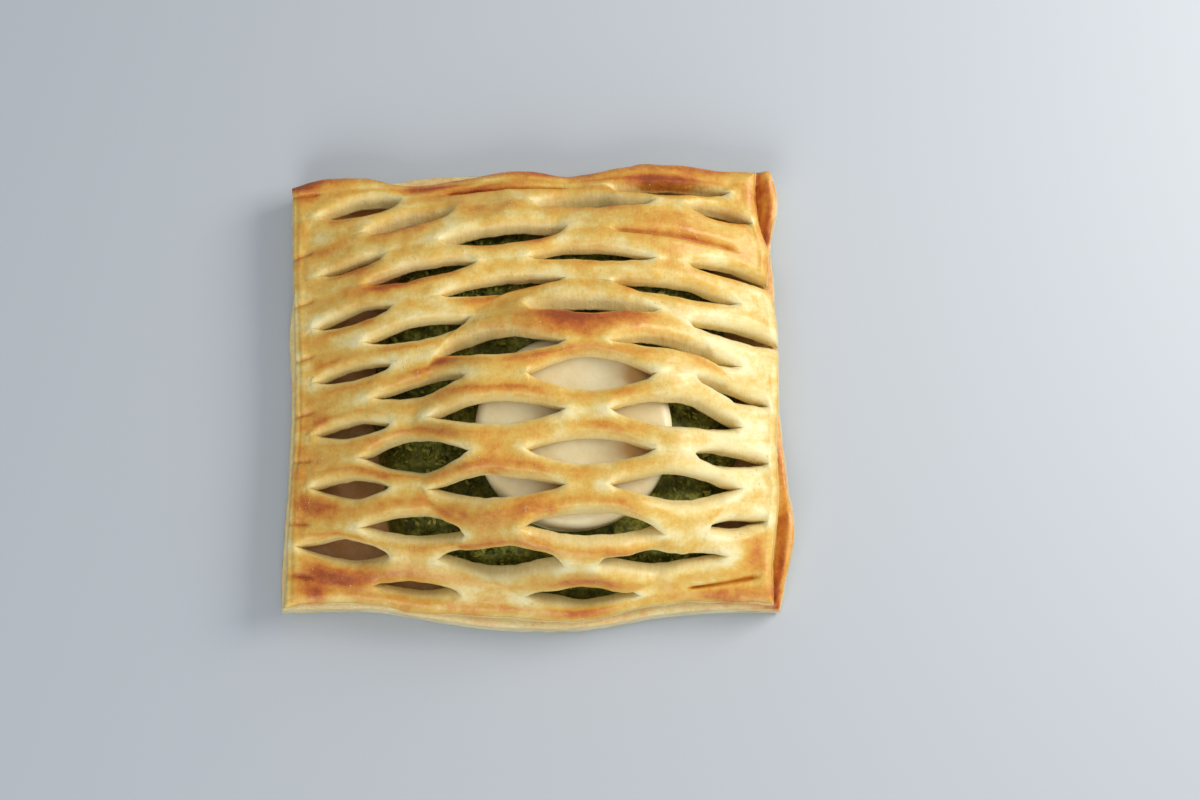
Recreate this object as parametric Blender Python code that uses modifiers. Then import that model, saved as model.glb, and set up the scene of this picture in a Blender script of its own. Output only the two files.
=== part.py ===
"""A square spinach puff pastry, resting on z = 0.

Four pieces lie on each other: a base sheet of puff pastry with a raised rim, a mound of chopped
spinach, a round of white cheese, and a top sheet that is cut in staggered rows and pulled open
into a lattice. Metres, +X to the right along the cuts, +Y to the back, +Z up. The origin is under
the middle of the base.
"""

import functools
import math

import bmesh
import bpy
import numpy as np

MM = 0.001

# Rows of cuts, counted from the back: where each runs at the sheet's left, middle and right, in millimetres
ROW_LINES = (
    (47.5, 50.1, 51.3), (40.9, 47.1, 48.7), (31.8, 43.4, 39.8), (25.8, 36.2, 30.5), (20.3, 30.9, 24.7),
    (13.5, 24.2, 16.0), (7.1, 16.3, 10.1), (0.8, 9.1, 1.9), (-6.2, 1.9, -5.3), (-11.2, -6.9, -10.9),
    (-16.8, -16.2, -17.5), (-22.9, -24.4, -22.6), (-31.2, -33.0, -29.5), (-36.3, -39.0, -36.3),
    (-43.0, -46.2, -42.2),
)
STRANDS = len(ROW_LINES) + 1
BOW_CENTRE_X = 11.8 * MM
BOW_REACH_LEFT = 70.0 * MM
BOW_REACH_RIGHT = 50.0 * MM

# Columns of cuts, counted from the left: where each starts and ends, in millimetres. Even rows have the
# first, third and fifth column, odd rows the others. Two rows run out through the right side.
COLUMNS = ((-51.3, -32.7), (-39.9, -14.2), (-23.0, 6.8), (-2.5, 27.3), (16.6, 45.7), (33.6, 53.0))
THROUGH_ROWS = (5, 7)
THROUGH_END_X = 60.0 * MM

# Cuts that start and end elsewhere than their column does, by row and column, in millimetres
UNEVEN_CUTS = {
    (3, 1): (-40.5, -19.5), (4, 0): (-50.0, -35.0), (9, 1): (-37.5, -14.2), (13, 5): (38.0, 53.0),
    (14, 0): (-55.0, -32.7), (14, 4): (13.0, 43.0), (15, 1): (-38.0, -17.5), (15, 3): (-2.5, 23.5),
}

# How far each cut has pulled open at its middle, down each column, in millimetres
OPENINGS = (
    (2.6, 1.2, 3.0, 2.8, 2.9, 4.2, 4.0),
    (0.9, 2.6, 3.6, 2.8, 7.6, 3.8, 1.2),
    (0.0, 2.2, 2.7, 3.8, 5.5, 5.0, 3.0),
    (0.7, 1.8, 0.9, 8.2, 6.4, 4.8, 1.9),
    (1.6, 0.0, 2.2, 1.3, 6.0, 5.2, 1.6),
    (1.2, 1.8, 2.2, 1.5, 2.8, 1.4, 0.0),
)
CLOSED_BELOW = 0.6 * MM
CLOSED_CUT_DEPTH = 1.5 * MM
EDGE_CUTS_END_X = -50.5 * MM

# Side edges of the flat sheet, and its outlines as (place along the edge, place of the edge), in millimetres
SHEET_LEFT = -57.5 * MM
SHEET_RIGHT = 56.1 * MM
TOP_LEFT = (
    (-52, -59.3), (-45, -58.9), (-30, -58.3), (-12, -57.5), (4, -57.5), (22, -58.2), (50, -59.3),
)
TOP_RIGHT = (
    (-50, 55.0), (-40, 55.0), (-25, 56.4), (-13, 56.1), (3, 56.7), (18, 56.2), (27, 54.5),
    (35, 54.4), (40, 52.8), (47, 51.8), (54, 51.9),
)
TOP_BACK = (
    (-59, 49.5), (-53, 51.7), (-45, 52.3), (-31, 50.0), (-21, 51.0), (-5, 53.8), (9, 52.4),
    (20, 54.8), (34, 55.3), (44, 53.9), (52, 53.9),
)
TOP_FRONT = (
    (-59, -51.7), (-55, -50.4), (-46, -49.7), (-37, -50.1), (-30, -51.4), (-9, -52.5), (9, -53.6),
    (17, -52.4), (27, -50.1), (40, -49.0), (55, -49.8),
)
BASE_LEFT = (
    (-50, -60.4), (-44, -60.6), (-32, -60.1), (-20, -59.4), (4, -59.4), (16, -60.0), (24, -59.3),
    (50, -59.8),
)
BASE_RIGHT = (
    (-51, 57.2), (-44, 58.5), (-34, 60.6), (-22, 59.3), (-5, 57.7), (12, 57.2), (26, 56.6),
    (38, 56.0), (47, 57.6), (56, 55.6),
)
BASE_BACK = (
    (-59, 49.4), (-48, 52.0), (-36, 52.6), (-27, 53.9), (-10, 54.2), (9, 52.6), (20, 54.4),
    (34, 55.0), (48, 54.6), (56, 55.9),
)
BASE_FRONT = (
    (-60, -51.4), (-50, -51.2), (-38, -51.2), (-24, -53.6), (-9, -55.4), (4, -55.9), (15, -55.0),
    (28, -52.6), (40, -51.5), (57, -51.2),
)

# Heights of the base and of the top sheet's underside
REST_GAP = 0.3 * MM
FLOOR_TOP = 3.0 * MM
RIM_TOP = 5.6 * MM
LIP_RISE = 3.2 * MM
LIP_STARTS_AT_WIDTH = 1.9 * MM
LIP_FULL_WIDTH = 4.5 * MM
LIP_CREST_INSET = 1.0 * MM
LIP_CREST_SHARE = 0.36
GROOVE_WIDTH = 0.5 * MM
SEALED_MARGIN = 4.0 * MM
MOUND_RISE = 10.8 * MM
MOUND_RUN_LEFT = 34.0 * MM
MOUND_RUN_RIGHT = 28.0 * MM
MOUND_RUN_BACK = 19.0 * MM
MOUND_RUN_FRONT = 21.0 * MM
CREASE_SOFTNESS = 3.0 * MM

# Side wall of the base, from the rim down: how far in and how high, in millimetres
BASE_WALL = ((0.45, 4.2), (0.1, 3.2), (0.5, 2.1), (0.0, 1.1), (0.8, 0.0))
WALL_TOP = 5.2 * MM
RIM_INSETS = (0.6 * MM, 1.6 * MM, 3.4 * MM)
FLOOR_START = 6.0 * MM
FLOOR_WIDTH = 116.9 * MM
FLOOR_DEPTH = 109.6 * MM
BASE_SPACING = 5.6 * MM
FITTING_ROUNDS = 6

# Thickness of the top sheet across a strand
CROWN_THICKNESS = 4.6 * MM
CUT_THICKNESS = 3.0 * MM
EDGE_THICKNESS = 3.4 * MM
LIP_ROUNDING = 0.9 * MM
FULLY_ROUNDED_AT = 0.2
SHOULDER = 0.3
STRAND_SEGMENT = 2.9 * MM
BORDER_REACH = 12.0 * MM

# Filling
CHEESE_X = 8.4 * MM
CHEESE_Y = -11.0 * MM
CHEESE_RADIUS = 22.8 * MM
CHEESE_BOTTOM = 14.5 * MM
CHEESE_TOP = 23.3 * MM
CHEESE_ROUNDING = 2.2 * MM
CHEESE_SIDES = 44
DRAPE_INNER = 22.0 * MM
DRAPE_OUTER = 36.5 * MM
DRAPE_CLEARANCE = 0.75 * MM
SPINACH_X = 3.8 * MM
SPINACH_Y = -2.4 * MM
SPINACH_HALF_WIDTH = 43.4 * MM
SPINACH_HALF_DEPTH = 47.0 * MM
SPINACH_ROUNDNESS = 0.36
SPINACH_FULLNESS = 6
SPINACH_SIDE = 0.8 * MM
SPINACH_DROP = 1.3 * MM
SPINACH_LUMP = 0.45 * MM
SPINACH_GRAIN = 1.35 * MM
SPINACH_CELLS = 34
SEAT_MARGIN = 4.0 * MM
SEAT_SLOPE_WIDTH = 2.5 * MM

# Mesh: the step for reading a slope, and the angles above which edges stay sharp or are kept
SLOPE_STEP = 0.4 * MM
SHARP_ANGLE = math.radians(50.0)
FLAT_ANGLE = math.radians(0.5)

COLOURS = {
    "pastry_base": ((0.72, 0.50, 0.20), 0.6),
    "spinach_filling": ((0.06, 0.08, 0.015), 0.45),
    "cheese_round": ((0.80, 0.74, 0.56), 0.4),
    "pastry_lattice": ((0.76, 0.49, 0.17), 0.45),
}


def smooth(share):
    """A soft step from 0 to 1."""
    share = np.clip(share, 0.0, 1.0)
    return share * share * (3.0 - 2.0 * share)


@functools.cache
def spline(knots, unit):
    """Places, values and slopes of a curve's knots."""
    spots = np.array([knot[0] for knot in knots], float) * unit
    values = np.array([knot[1] for knot in knots], float) * MM
    return spots, values, np.gradient(values, spots)


def through(knots, place, unit=MM):
    """A smooth curve through (place, value) knots, level past both ends."""
    spots, values, slopes = spline(knots, unit)
    place = np.clip(place, spots[0], spots[-1])
    at = np.clip(np.searchsorted(spots, place) - 1, 0, len(spots) - 2)
    span = spots[at + 1] - spots[at]
    share = (place - spots[at]) / span
    start = values[at] * (1 + 2 * share) * (1 - share) ** 2 + slopes[at] * span * share * (1 - share) ** 2
    end = values[at + 1] * share**2 * (3 - 2 * share) + slopes[at + 1] * span * share**2 * (share - 1)
    return start + end


def rise(distance, run):
    """How far up the mound has come, from 0 to 1, this far inside a crease."""
    softened = 0.5 * (distance + np.sqrt(distance**2 + CREASE_SOFTNESS**2))
    return np.sin(0.5 * math.pi * np.clip(softened / run, 0.0, 1.0))


def mound(x, y):
    """Height of the top sheet's underside where there is no cheese."""
    left = rise(x - through(TOP_LEFT, y) - SEALED_MARGIN, MOUND_RUN_LEFT)
    right = rise(through(TOP_RIGHT, y) - SEALED_MARGIN - x, MOUND_RUN_RIGHT)
    back = rise(through(TOP_BACK, x) - SEALED_MARGIN - y, MOUND_RUN_BACK)
    front = rise(y - through(TOP_FRONT, x) - SEALED_MARGIN, MOUND_RUN_FRONT)
    return RIM_TOP + REST_GAP + MOUND_RISE * left * right * back * front


def underside(x, y):
    """Height of the top sheet's underside, which drapes over the cheese."""
    from_cheese = np.hypot(x - CHEESE_X, y - CHEESE_Y)
    drape = smooth((DRAPE_OUTER - from_cheese) / (DRAPE_OUTER - DRAPE_INNER))
    bare = mound(x, y)
    return bare + (CHEESE_TOP + DRAPE_CLEARANCE - bare) * drape


def outward(x, y):
    """Unit normals of the underside, pointing up and out."""
    slope_x = (underside(x + SLOPE_STEP, y) - underside(x - SLOPE_STEP, y)) / (2 * SLOPE_STEP)
    slope_y = (underside(x, y + SLOPE_STEP) - underside(x, y - SLOPE_STEP)) / (2 * SLOPE_STEP)
    length = np.sqrt(1.0 + slope_x**2 + slope_y**2)
    return -slope_x / length, -slope_y / length, 1.0 / length


def column_of(row, x):
    """The column of cuts nearest to this place in a row, and the cut's two ends."""
    columns = range(row % 2, len(COLUMNS), 2)
    nearest = min(columns, key=lambda column: abs(0.5 * MM * sum(COLUMNS[column]) - x))
    start, end = (side * MM for side in UNEVEN_CUTS.get((row, nearest), COLUMNS[nearest]))
    if nearest == len(COLUMNS) - 1 and row in THROUGH_ROWS:
        end = THROUGH_END_X
    return nearest, start, end


def opening_at(row, column):
    """How far the cut of this row and column is open at its middle."""
    place = (row - 2 - column % 2) // 2
    return OPENINGS[column][place] * MM if 0 <= place < len(OPENINGS[column]) else 0.0


def lens(row, x):
    """Share of its full opening that the row's cut has here, from 0 to 1, and that opening."""
    if not 1 < row < STRANDS:
        return 0.0, 0.0
    column, start, end = column_of(row, x)
    opening = opening_at(row, column)
    if opening < CLOSED_BELOW or not start < x < end:
        return 0.0, 0.0
    middle = 0.5 * (start + end)
    return math.cos(math.pi * (x - middle) / (end - start)), opening


def line_y(row, x):
    """Where a row's cuts run. The first and last rows are the sheet's own edges."""
    if row == 0:
        return float(through(TOP_BACK, x))
    if row == STRANDS:
        return float(through(TOP_FRONT, x))
    left, middle, right = (y * MM for y in ROW_LINES[row - 1])
    side, reach = (left, BOW_REACH_LEFT) if x < BOW_CENTRE_X else (right, BOW_REACH_RIGHT)
    bow = math.cos(0.5 * math.pi * max(-1.0, min(1.0, (x - BOW_CENTRE_X) / reach)))
    return side + (middle - side) * bow


def groove_depth(row, x):
    """Depth of the crease that a closed cut leaves in the sheet's upper face."""
    if not 0 < row < STRANDS or row != int(row):
        return 0.0
    if row % 2 and x < EDGE_CUTS_END_X:
        return CLOSED_CUT_DEPTH
    if row == 1:
        return 0.0
    column, start, end = column_of(int(row), x)
    closed = opening_at(int(row), column) < CLOSED_BELOW
    return CLOSED_CUT_DEPTH if closed and start < x < end else 0.0


@functools.cache
def lip_y(row, x, side):
    """The edge of a strand along a row. side is 1 for the strand behind the cut, -1 for the one in front."""
    y = line_y(row, x)
    share, opening = lens(row, x)
    lean = abs(outward(x, y)[1]) * CUT_THICKNESS
    return y + side * 0.5 * share * (opening + lean)


def sheet_place(x, row, side):
    """Place on the underside for a flat sheet's (x, row), and the thickness of the sheet there."""
    back_row = min(int(row), STRANDS - 1) if side == 0 else int(row)
    share = row - back_row
    if side == 0 and share > 0:
        y = lip_y(back_row, x, -1) * (1 - share) + lip_y(back_row + 1, x, 1) * share
        back_cut, front_cut = lens(back_row, x)[0], lens(back_row + 1, x)[0]
    else:
        y = lip_y(back_row, x, side)
        back_cut = front_cut = lens(back_row, x)[0]
        share = 0.0
    near_back = max(0.0, 1 - share / SHOULDER) if side >= 0 or share else 1.0
    near_front = max(0.0, 1 - (1 - share) / SHOULDER) if share else 0.0
    thinned = max(near_back * back_cut**0.5, near_front * front_cut**0.5)
    thickness = CROWN_THICKNESS - (CROWN_THICKNESS - CUT_THICKNESS) * thinned
    return y, thickness - groove_depth(row, x)


def border_shift(x, y):
    """Moves a flat sheet's x so that its two side edges follow their outlines."""
    to_left = max(0.0, 1 - (x - SHEET_LEFT) / BORDER_REACH)
    to_right = max(0.0, 1 - (SHEET_RIGHT - x) / BORDER_REACH)
    shift = to_left * (through(TOP_LEFT, y) - SHEET_LEFT) + to_right * (through(TOP_RIGHT, y) - SHEET_RIGHT)
    return x + shift


def stations():
    """Places along x where the sheet has a column of vertices: every end of a cut, and evenly between."""
    ends = sorted([SHEET_LEFT, SHEET_RIGHT, *(end * MM for column in COLUMNS for end in column)])
    places = [ends[0]]
    for start, end in zip(ends, ends[1:]):
        pieces = max(1, round((end - start) / STRAND_SEGMENT))
        places += [start + (end - start) * (piece + 1) / pieces for piece in range(pieces)]
    return places


def grid_mesh(columns, rows):
    """A flat grid whose vertices hold their column and row as x and y."""
    grid = bmesh.new()
    bmesh.ops.create_grid(grid, x_segments=columns, y_segments=rows, size=0.5)
    for vertex in grid.verts:
        vertex.co.x = round((vertex.co.x + 0.5) * columns)
        vertex.co.y = round((vertex.co.y + 0.5) * rows)
    return grid


def finish(mesh, name):
    """Makes a named, smooth-shaded object with its own material."""
    bmesh.ops.recalc_face_normals(mesh, faces=mesh.faces[:])
    data = bpy.data.meshes.new(name)
    mesh.to_mesh(data)
    mesh.free()
    data.shade_smooth()
    data.set_sharp_from_angle(angle=SHARP_ANGLE)
    colour, roughness = COLOURS[name]
    material = bpy.data.materials.new(name)
    material.use_nodes = True
    shader = material.node_tree.nodes["Principled BSDF"]
    shader.inputs["Base Color"].default_value = (*colour, 1.0)
    shader.inputs["Roughness"].default_value = roughness
    shader.inputs["Metallic"].default_value = 0.0
    data.materials.append(material)
    obj = bpy.data.objects.new(name, data)
    PASTRY.objects.link(obj)
    return obj


def open_cuts(sheet, places, row_shares):
    """Splits the flat sheet along every open cut. Vertices then know which side of a cut they are on."""
    cut_edges = []
    for edge in sheet.edges:
        first, second = edge.verts
        row = row_shares[int(first.co.y)]
        if first.co.y != second.co.y or row != int(row):
            continue
        middle = 0.5 * (places[int(first.co.x)] + places[int(second.co.x)])
        if lens(int(row), middle)[0] > 0:
            cut_edges.append(edge)
    bmesh.ops.split_edges(sheet, edges=cut_edges)
    side = sheet.verts.layers.int.new("side")
    for vertex in sheet.verts:
        row = row_shares[int(vertex.co.y)]
        if row != int(row) or not 0 < row < STRANDS:
            continue
        centres = [face.calc_center_median().y for face in vertex.link_faces]
        if all(centre < vertex.co.y for centre in centres):
            vertex[side] = 1
        elif all(centre > vertex.co.y for centre in centres):
            vertex[side] = -1
    return side


def make_lattice():
    """The top sheet: cut flat in staggered rows, pulled open, and laid over the filling."""
    places = stations()
    row_shares = []
    for strand in range(STRANDS):
        row_shares += [float(strand), strand + SHOULDER, strand + 1 - SHOULDER]
    row_shares.append(float(STRANDS))
    sheet = grid_mesh(len(places) - 1, len(row_shares) - 1)
    side = open_cuts(sheet, places, row_shares)

    upper = bmesh.ops.extrude_face_region(sheet, geom=sheet.faces[:], use_keep_orig=True)
    upper_verts = {item for item in upper["geom"] if isinstance(item, bmesh.types.BMVert)}
    hidden = [
        edge
        for edge in sheet.edges
        if edge.verts[0] not in upper_verts
        and edge.verts[1] not in upper_verts
        and edge.verts[0].co.y == edge.verts[1].co.y
        and row_shares[int(edge.verts[0].co.y)] % 1 > 0
    ]
    last_column = len(places) - 1
    placed = []
    for vertex in sheet.verts:
        column = int(vertex.co.x)
        row = row_shares[int(vertex.co.y)]
        y, thickness = sheet_place(places[column], row, vertex[side])
        if column in (0, last_column) or row in (0, STRANDS):
            thickness = min(thickness, EDGE_THICKNESS)
        if vertex in upper_verts:
            y += vertex[side] * LIP_ROUNDING * min(1.0, lens(int(row), places[column])[0] / FULLY_ROUNDED_AT)
        x = float(border_shift(places[column], y))
        spot = [x, y, float(underside(x, y))]
        if vertex in upper_verts:
            spot = [at + thickness * float(part) for at, part in zip(spot, outward(x, y))]
        placed.append((vertex, spot))
    for vertex, spot in placed:
        vertex.co = spot
    bmesh.ops.dissolve_edges(sheet, edges=hidden, use_verts=True)
    return finish(sheet, "pastry_lattice")


def cells_across(length):
    """How many columns or rows of cells the base has over this length."""
    return 2 * len(RIM_INSETS) + max(1, round((length - 2 * FLOOR_START) / BASE_SPACING))


def spread(index, count, low, high):
    """Place of a grid line of the base between its two edges: closer together on the rim."""
    insets = (*RIM_INSETS, FLOOR_START)
    last = len(insets) - 1
    if index <= last:
        return low + insets[index]
    if index >= count - last:
        return high - insets[count - index]
    return low + FLOOR_START + (high - low - 2 * FLOOR_START) * (index - last) / (count - 2 * last)


def base_place(column, row, columns, rows):
    """Place of one vertex of the base's upper skin, and how far the lip raises it."""
    x = 0.0
    y = 0.0
    for _ in range(FITTING_ROUNDS):
        x = spread(column, columns, float(through(BASE_LEFT, y)), float(through(BASE_RIGHT, y)))
        y = spread(row, rows, float(through(BASE_FRONT, x)), float(through(BASE_BACK, x)))
    ring = min(column, row, columns - column, rows - row)
    height = (WALL_TOP, RIM_TOP, RIM_TOP, FLOOR_TOP)[min(ring, 3)]
    right = float(through(BASE_RIGHT, y))
    lip_width = max(0.0, right - float(through(TOP_RIGHT, y)))
    if columns - column > 2 or ring < columns - column:
        return x, y, height, 0.0
    widening = (lip_width - LIP_STARTS_AT_WIDTH) / (LIP_FULL_WIDTH - LIP_STARTS_AT_WIDTH)
    lip = LIP_RISE * float(smooth(widening))
    crest = max(LIP_CREST_INSET, LIP_CREST_SHARE * lip_width)
    groove = max(LIP_CREST_INSET, lip_width - 2 * GROOVE_WIDTH) + GROOVE_WIDTH
    inset, raised = ((RIM_INSETS[0], lip), (crest, lip), (groove, 0.0))[columns - column]
    return right - inset, y, height + raised, raised


def make_base():
    """The base sheet: a floor, a layered side, a rim under the top sheet, and a lip along its right side."""
    columns = cells_across(FLOOR_WIDTH)
    rows = cells_across(FLOOR_DEPTH)
    base = grid_mesh(columns, rows)
    outward_x = base.verts.layers.float.new("outward_x")
    outward_y = base.verts.layers.float.new("outward_y")
    lips = base.verts.layers.float.new("lip")
    for vertex in base.verts:
        column = int(vertex.co.x)
        row = int(vertex.co.y)
        vertex[outward_x] = (column == columns) - (column == 0)
        vertex[outward_y] = (row == rows) - (row == 0)
        *spot, vertex[lips] = base_place(column, row, columns, rows)
        vertex.co = spot
    rim = [edge for edge in base.edges if edge.is_boundary]
    inset = RIM_INSETS[0]
    for next_inset, height in BASE_WALL:
        wall = bmesh.ops.extrude_edge_only(base, edges=rim)["geom"]
        rim = [item for item in wall if isinstance(item, bmesh.types.BMEdge) and item.is_boundary]
        for vertex in {corner for edge in rim for corner in edge.verts}:
            vertex.co.x += (inset - next_inset * MM) * vertex[outward_x]
            vertex.co.y += (inset - next_inset * MM) * vertex[outward_y]
            vertex.co.z = height * MM * (1 + vertex[lips] / RIM_TOP)
        inset = next_inset * MM
    bmesh.ops.contextual_create(base, geom=rim)
    bmesh.ops.dissolve_limit(base, angle_limit=FLAT_ANGLE, verts=base.verts[:], edges=base.edges[:])
    return finish(base, "pastry_base")


def make_spinach():
    """The chopped spinach: a flat-bottomed mound, level under the cheese and lumpy elsewhere."""
    heap = grid_mesh(SPINACH_CELLS, SPINACH_CELLS)
    lower = bmesh.ops.extrude_face_region(heap, geom=heap.faces[:], use_keep_orig=True)
    lower_verts = {item for item in lower["geom"] if isinstance(item, bmesh.types.BMVert)}
    bottom = FLOOR_TOP + REST_GAP
    placed = []
    for vertex in heap.verts:
        across = 2 * vertex.co.x / SPINACH_CELLS - 1
        along = 2 * vertex.co.y / SPINACH_CELLS - 1
        x = SPINACH_X + SPINACH_HALF_WIDTH * across * math.sqrt(1 - SPINACH_ROUNDNESS * along**2)
        y = SPINACH_Y + SPINACH_HALF_DEPTH * along * math.sqrt(1 - SPINACH_ROUNDNESS * across**2)
        height = bottom
        if vertex not in lower_verts:
            inside = math.sqrt(1 - max(abs(across), abs(along)) ** SPINACH_FULLNESS)
            wave = y / SPINACH_GRAIN + x / (3 * SPINACH_GRAIN)
            lump = SPINACH_LUMP * (math.sin(x / SPINACH_GRAIN) + math.sin(wave))
            top = float(mound(x, y)) - SPINACH_DROP - 2 * SPINACH_LUMP + lump
            from_cheese = math.hypot(x - CHEESE_X, y - CHEESE_Y)
            seat = float(smooth((CHEESE_RADIUS + SEAT_MARGIN - from_cheese) / SEAT_SLOPE_WIDTH))
            top += (CHEESE_BOTTOM - REST_GAP - top) * seat
            height = bottom + SPINACH_SIDE + (top - bottom - SPINACH_SIDE) * inside
        placed.append((vertex, (x, y, height)))
    for vertex, spot in placed:
        vertex.co = spot
    bmesh.ops.dissolve_limit(heap, angle_limit=FLAT_ANGLE, verts=heap.verts[:], edges=heap.edges[:])
    return finish(heap, "spinach_filling")


def make_cheese():
    """The round of cheese: a short cylinder with rounded rims."""
    disc = bmesh.new()
    bmesh.ops.create_cone(
        disc, cap_ends=True, segments=CHEESE_SIDES, radius1=CHEESE_RADIUS, radius2=CHEESE_RADIUS,
        depth=CHEESE_TOP - CHEESE_BOTTOM,
    )
    cheese = finish(disc, "cheese_round")
    cheese.location = (CHEESE_X, CHEESE_Y, 0.5 * (CHEESE_TOP + CHEESE_BOTTOM))
    bevel = cheese.modifiers.new("rounding", "BEVEL")
    bevel.width = CHEESE_ROUNDING
    bevel.segments = 3
    bevel.limit_method = "ANGLE"
    return cheese


for leftover in list(bpy.data.objects):
    bpy.data.objects.remove(leftover)
PASTRY = bpy.data.collections.new("spinach_puff_pastry")
bpy.context.scene.collection.children.link(PASTRY)

make_base()
make_spinach()
make_cheese()
make_lattice()
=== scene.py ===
"""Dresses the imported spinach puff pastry, and sets up its floor, lights and camera.

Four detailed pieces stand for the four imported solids: the base sheet with its flaky sides, the
chopped spinach, the round of cheese, and the top sheet, which is cut flat in staggered rows,
pulled open and laid over the filling. Metres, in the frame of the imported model.
"""

import logging
import math
from dataclasses import dataclass
from enum import IntEnum

import bmesh
import bpy
import numpy as np
from mathutils import Euler, Matrix, Vector


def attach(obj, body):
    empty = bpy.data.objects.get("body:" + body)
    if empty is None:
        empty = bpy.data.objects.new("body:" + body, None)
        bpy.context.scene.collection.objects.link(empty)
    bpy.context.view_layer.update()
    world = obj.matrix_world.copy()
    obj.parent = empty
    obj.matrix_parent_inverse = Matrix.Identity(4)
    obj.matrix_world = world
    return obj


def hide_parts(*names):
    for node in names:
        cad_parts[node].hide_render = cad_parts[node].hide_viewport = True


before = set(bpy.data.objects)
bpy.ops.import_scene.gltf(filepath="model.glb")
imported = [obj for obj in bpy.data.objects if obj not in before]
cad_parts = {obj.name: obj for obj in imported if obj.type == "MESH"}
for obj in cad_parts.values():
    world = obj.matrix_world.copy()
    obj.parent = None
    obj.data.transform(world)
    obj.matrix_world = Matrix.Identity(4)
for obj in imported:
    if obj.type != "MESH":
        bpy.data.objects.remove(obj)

LOG = logging.getLogger("pastry")
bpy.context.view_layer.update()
MM = 0.001
ALL_SMOOTH = 180.0
Colour = tuple[float, float, float]
Pair = tuple[float, float]
Knots = tuple[Pair, ...]
Triple = tuple[float, float, float]


class Side(IntEnum):
    """Which side of a cut a vertex of the top sheet is on."""

    FRONT = -1
    NEITHER = 0
    BACK = 1


def smooth(share: np.ndarray | float) -> np.ndarray:
    """Takes a soft step from 0 to 1.

    Args:
        share: Where on the step, from 0 to 1; anything past an end counts as that end.

    Returns:
        The height of the step.
    """
    share = np.clip(share, 0.0, 1.0)
    return share * share * (3.0 - 2.0 * share)


def linear(code: str) -> Colour:
    """Turns a screen colour into the linear values that a shader takes.

    Args:
        code: Six hexadecimal digits, red first.

    Returns:
        Linear red, green and blue.
    """
    parts = [int(code[at:at + 2], 16) / 255 for at in (0, 2, 4)]
    return tuple(part / 12.92 if part <= 0.04045 else ((part + 0.055) / 1.055) ** 2.4 for part in parts)


@dataclass(frozen=True)
class Curve:
    """A smooth curve through (place, value) knots, level past both ends.

    Args:
        knots: Pairs of place and value, in order of place, values in millimetres.
        unit: Metres in one unit of place.
    """

    knots: Knots
    unit: float = MM

    def at(self, place: np.ndarray | float) -> np.ndarray:
        """Reads the curve.

        Args:
            place: Where along the curve.

        Returns:
            The values there, in metres.
        """
        spots = np.array([knot[0] for knot in self.knots], float) * self.unit
        values = np.array([knot[1] for knot in self.knots], float) * MM
        slopes = np.gradient(values, spots)
        place = np.clip(place, spots[0], spots[-1])
        piece = np.clip(np.searchsorted(spots, place) - 1, 0, len(spots) - 2)
        span = spots[piece + 1] - spots[piece]
        share = (place - spots[piece]) / span
        start = values[piece] * (1 + 2 * share) + slopes[piece] * span * share
        end = values[piece + 1] * (3 - 2 * share) + slopes[piece + 1] * span * (share - 1)
        return start * (1 - share) ** 2 + end * share**2


@dataclass(frozen=True)
class Grain:
    """Smooth random relief, the same on every run.

    Args:
        seed: Picks one relief of the many.
        size: Metres from one bump to the next.
        height: How far it goes up and down from 0.
        squeeze: How much closer the bumps are along the second direction.
        cells: Bumps before it repeats.
    """

    seed: int
    size: float
    height: float = 1.0
    squeeze: float = 1.0
    cells: int = 256

    def at(self, x: np.ndarray, y: np.ndarray) -> np.ndarray:
        """Reads the relief.

        Args:
            x: Places along one direction.
            y: Places along the other.

        Returns:
            The heights there.
        """
        table = np.random.default_rng(self.seed).uniform(-1.0, 1.0, (self.cells, self.cells))
        across = np.asarray(x) / self.size
        along = np.asarray(y) * self.squeeze / self.size
        column = np.floor(across).astype(int)
        row = np.floor(along).astype(int)
        to_right = smooth(across - column)
        to_back = smooth(along - row)
        left, right = column % self.cells, (column + 1) % self.cells
        front, back = row % self.cells, (row + 1) % self.cells
        near = table[front, left] * (1 - to_right) + table[front, right] * to_right
        far = table[back, left] * (1 - to_right) + table[back, right] * to_right
        return self.height * (near * (1 - to_back) + far * to_back)


def relief(grains: tuple[Grain, ...], x: np.ndarray, y: np.ndarray) -> np.ndarray:
    """Adds up random relief of several sizes.

    Args:
        grains: The grains.
        x: Places along one direction.
        y: Places along the other.

    Returns:
        The sum of their heights.
    """
    return sum(grain.at(x, y) for grain in grains)


@dataclass(frozen=True)
class Patch:
    """A place that browned more, or less, than what is round it.

    Args:
        x: Its middle, in millimetres.
        y: Its middle, in millimetres.
        long: How far it reaches along the strands, in millimetres.
        wide: How far it reaches across them, in millimetres.
        strength: How much browner it is; below 0 is paler.
        turn: How far it turns anticlockwise, in degrees.
    """

    x: float
    y: float
    long: float
    wide: float
    strength: float
    turn: float = 0.0

    def at(self, x: np.ndarray, y: np.ndarray) -> np.ndarray:
        """Reads the extra browning.

        Args:
            x: Places along X, in metres.
            y: Places along Y, in metres.

        Returns:
            The extra browning there.
        """
        turn = math.radians(self.turn)
        right = x / MM - self.x
        back = y / MM - self.y
        along = (right * math.cos(turn) + back * math.sin(turn)) / self.long
        across = (back * math.cos(turn) - right * math.sin(turn)) / self.wide
        return self.strength * np.exp(-(along**2 + across**2))


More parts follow.
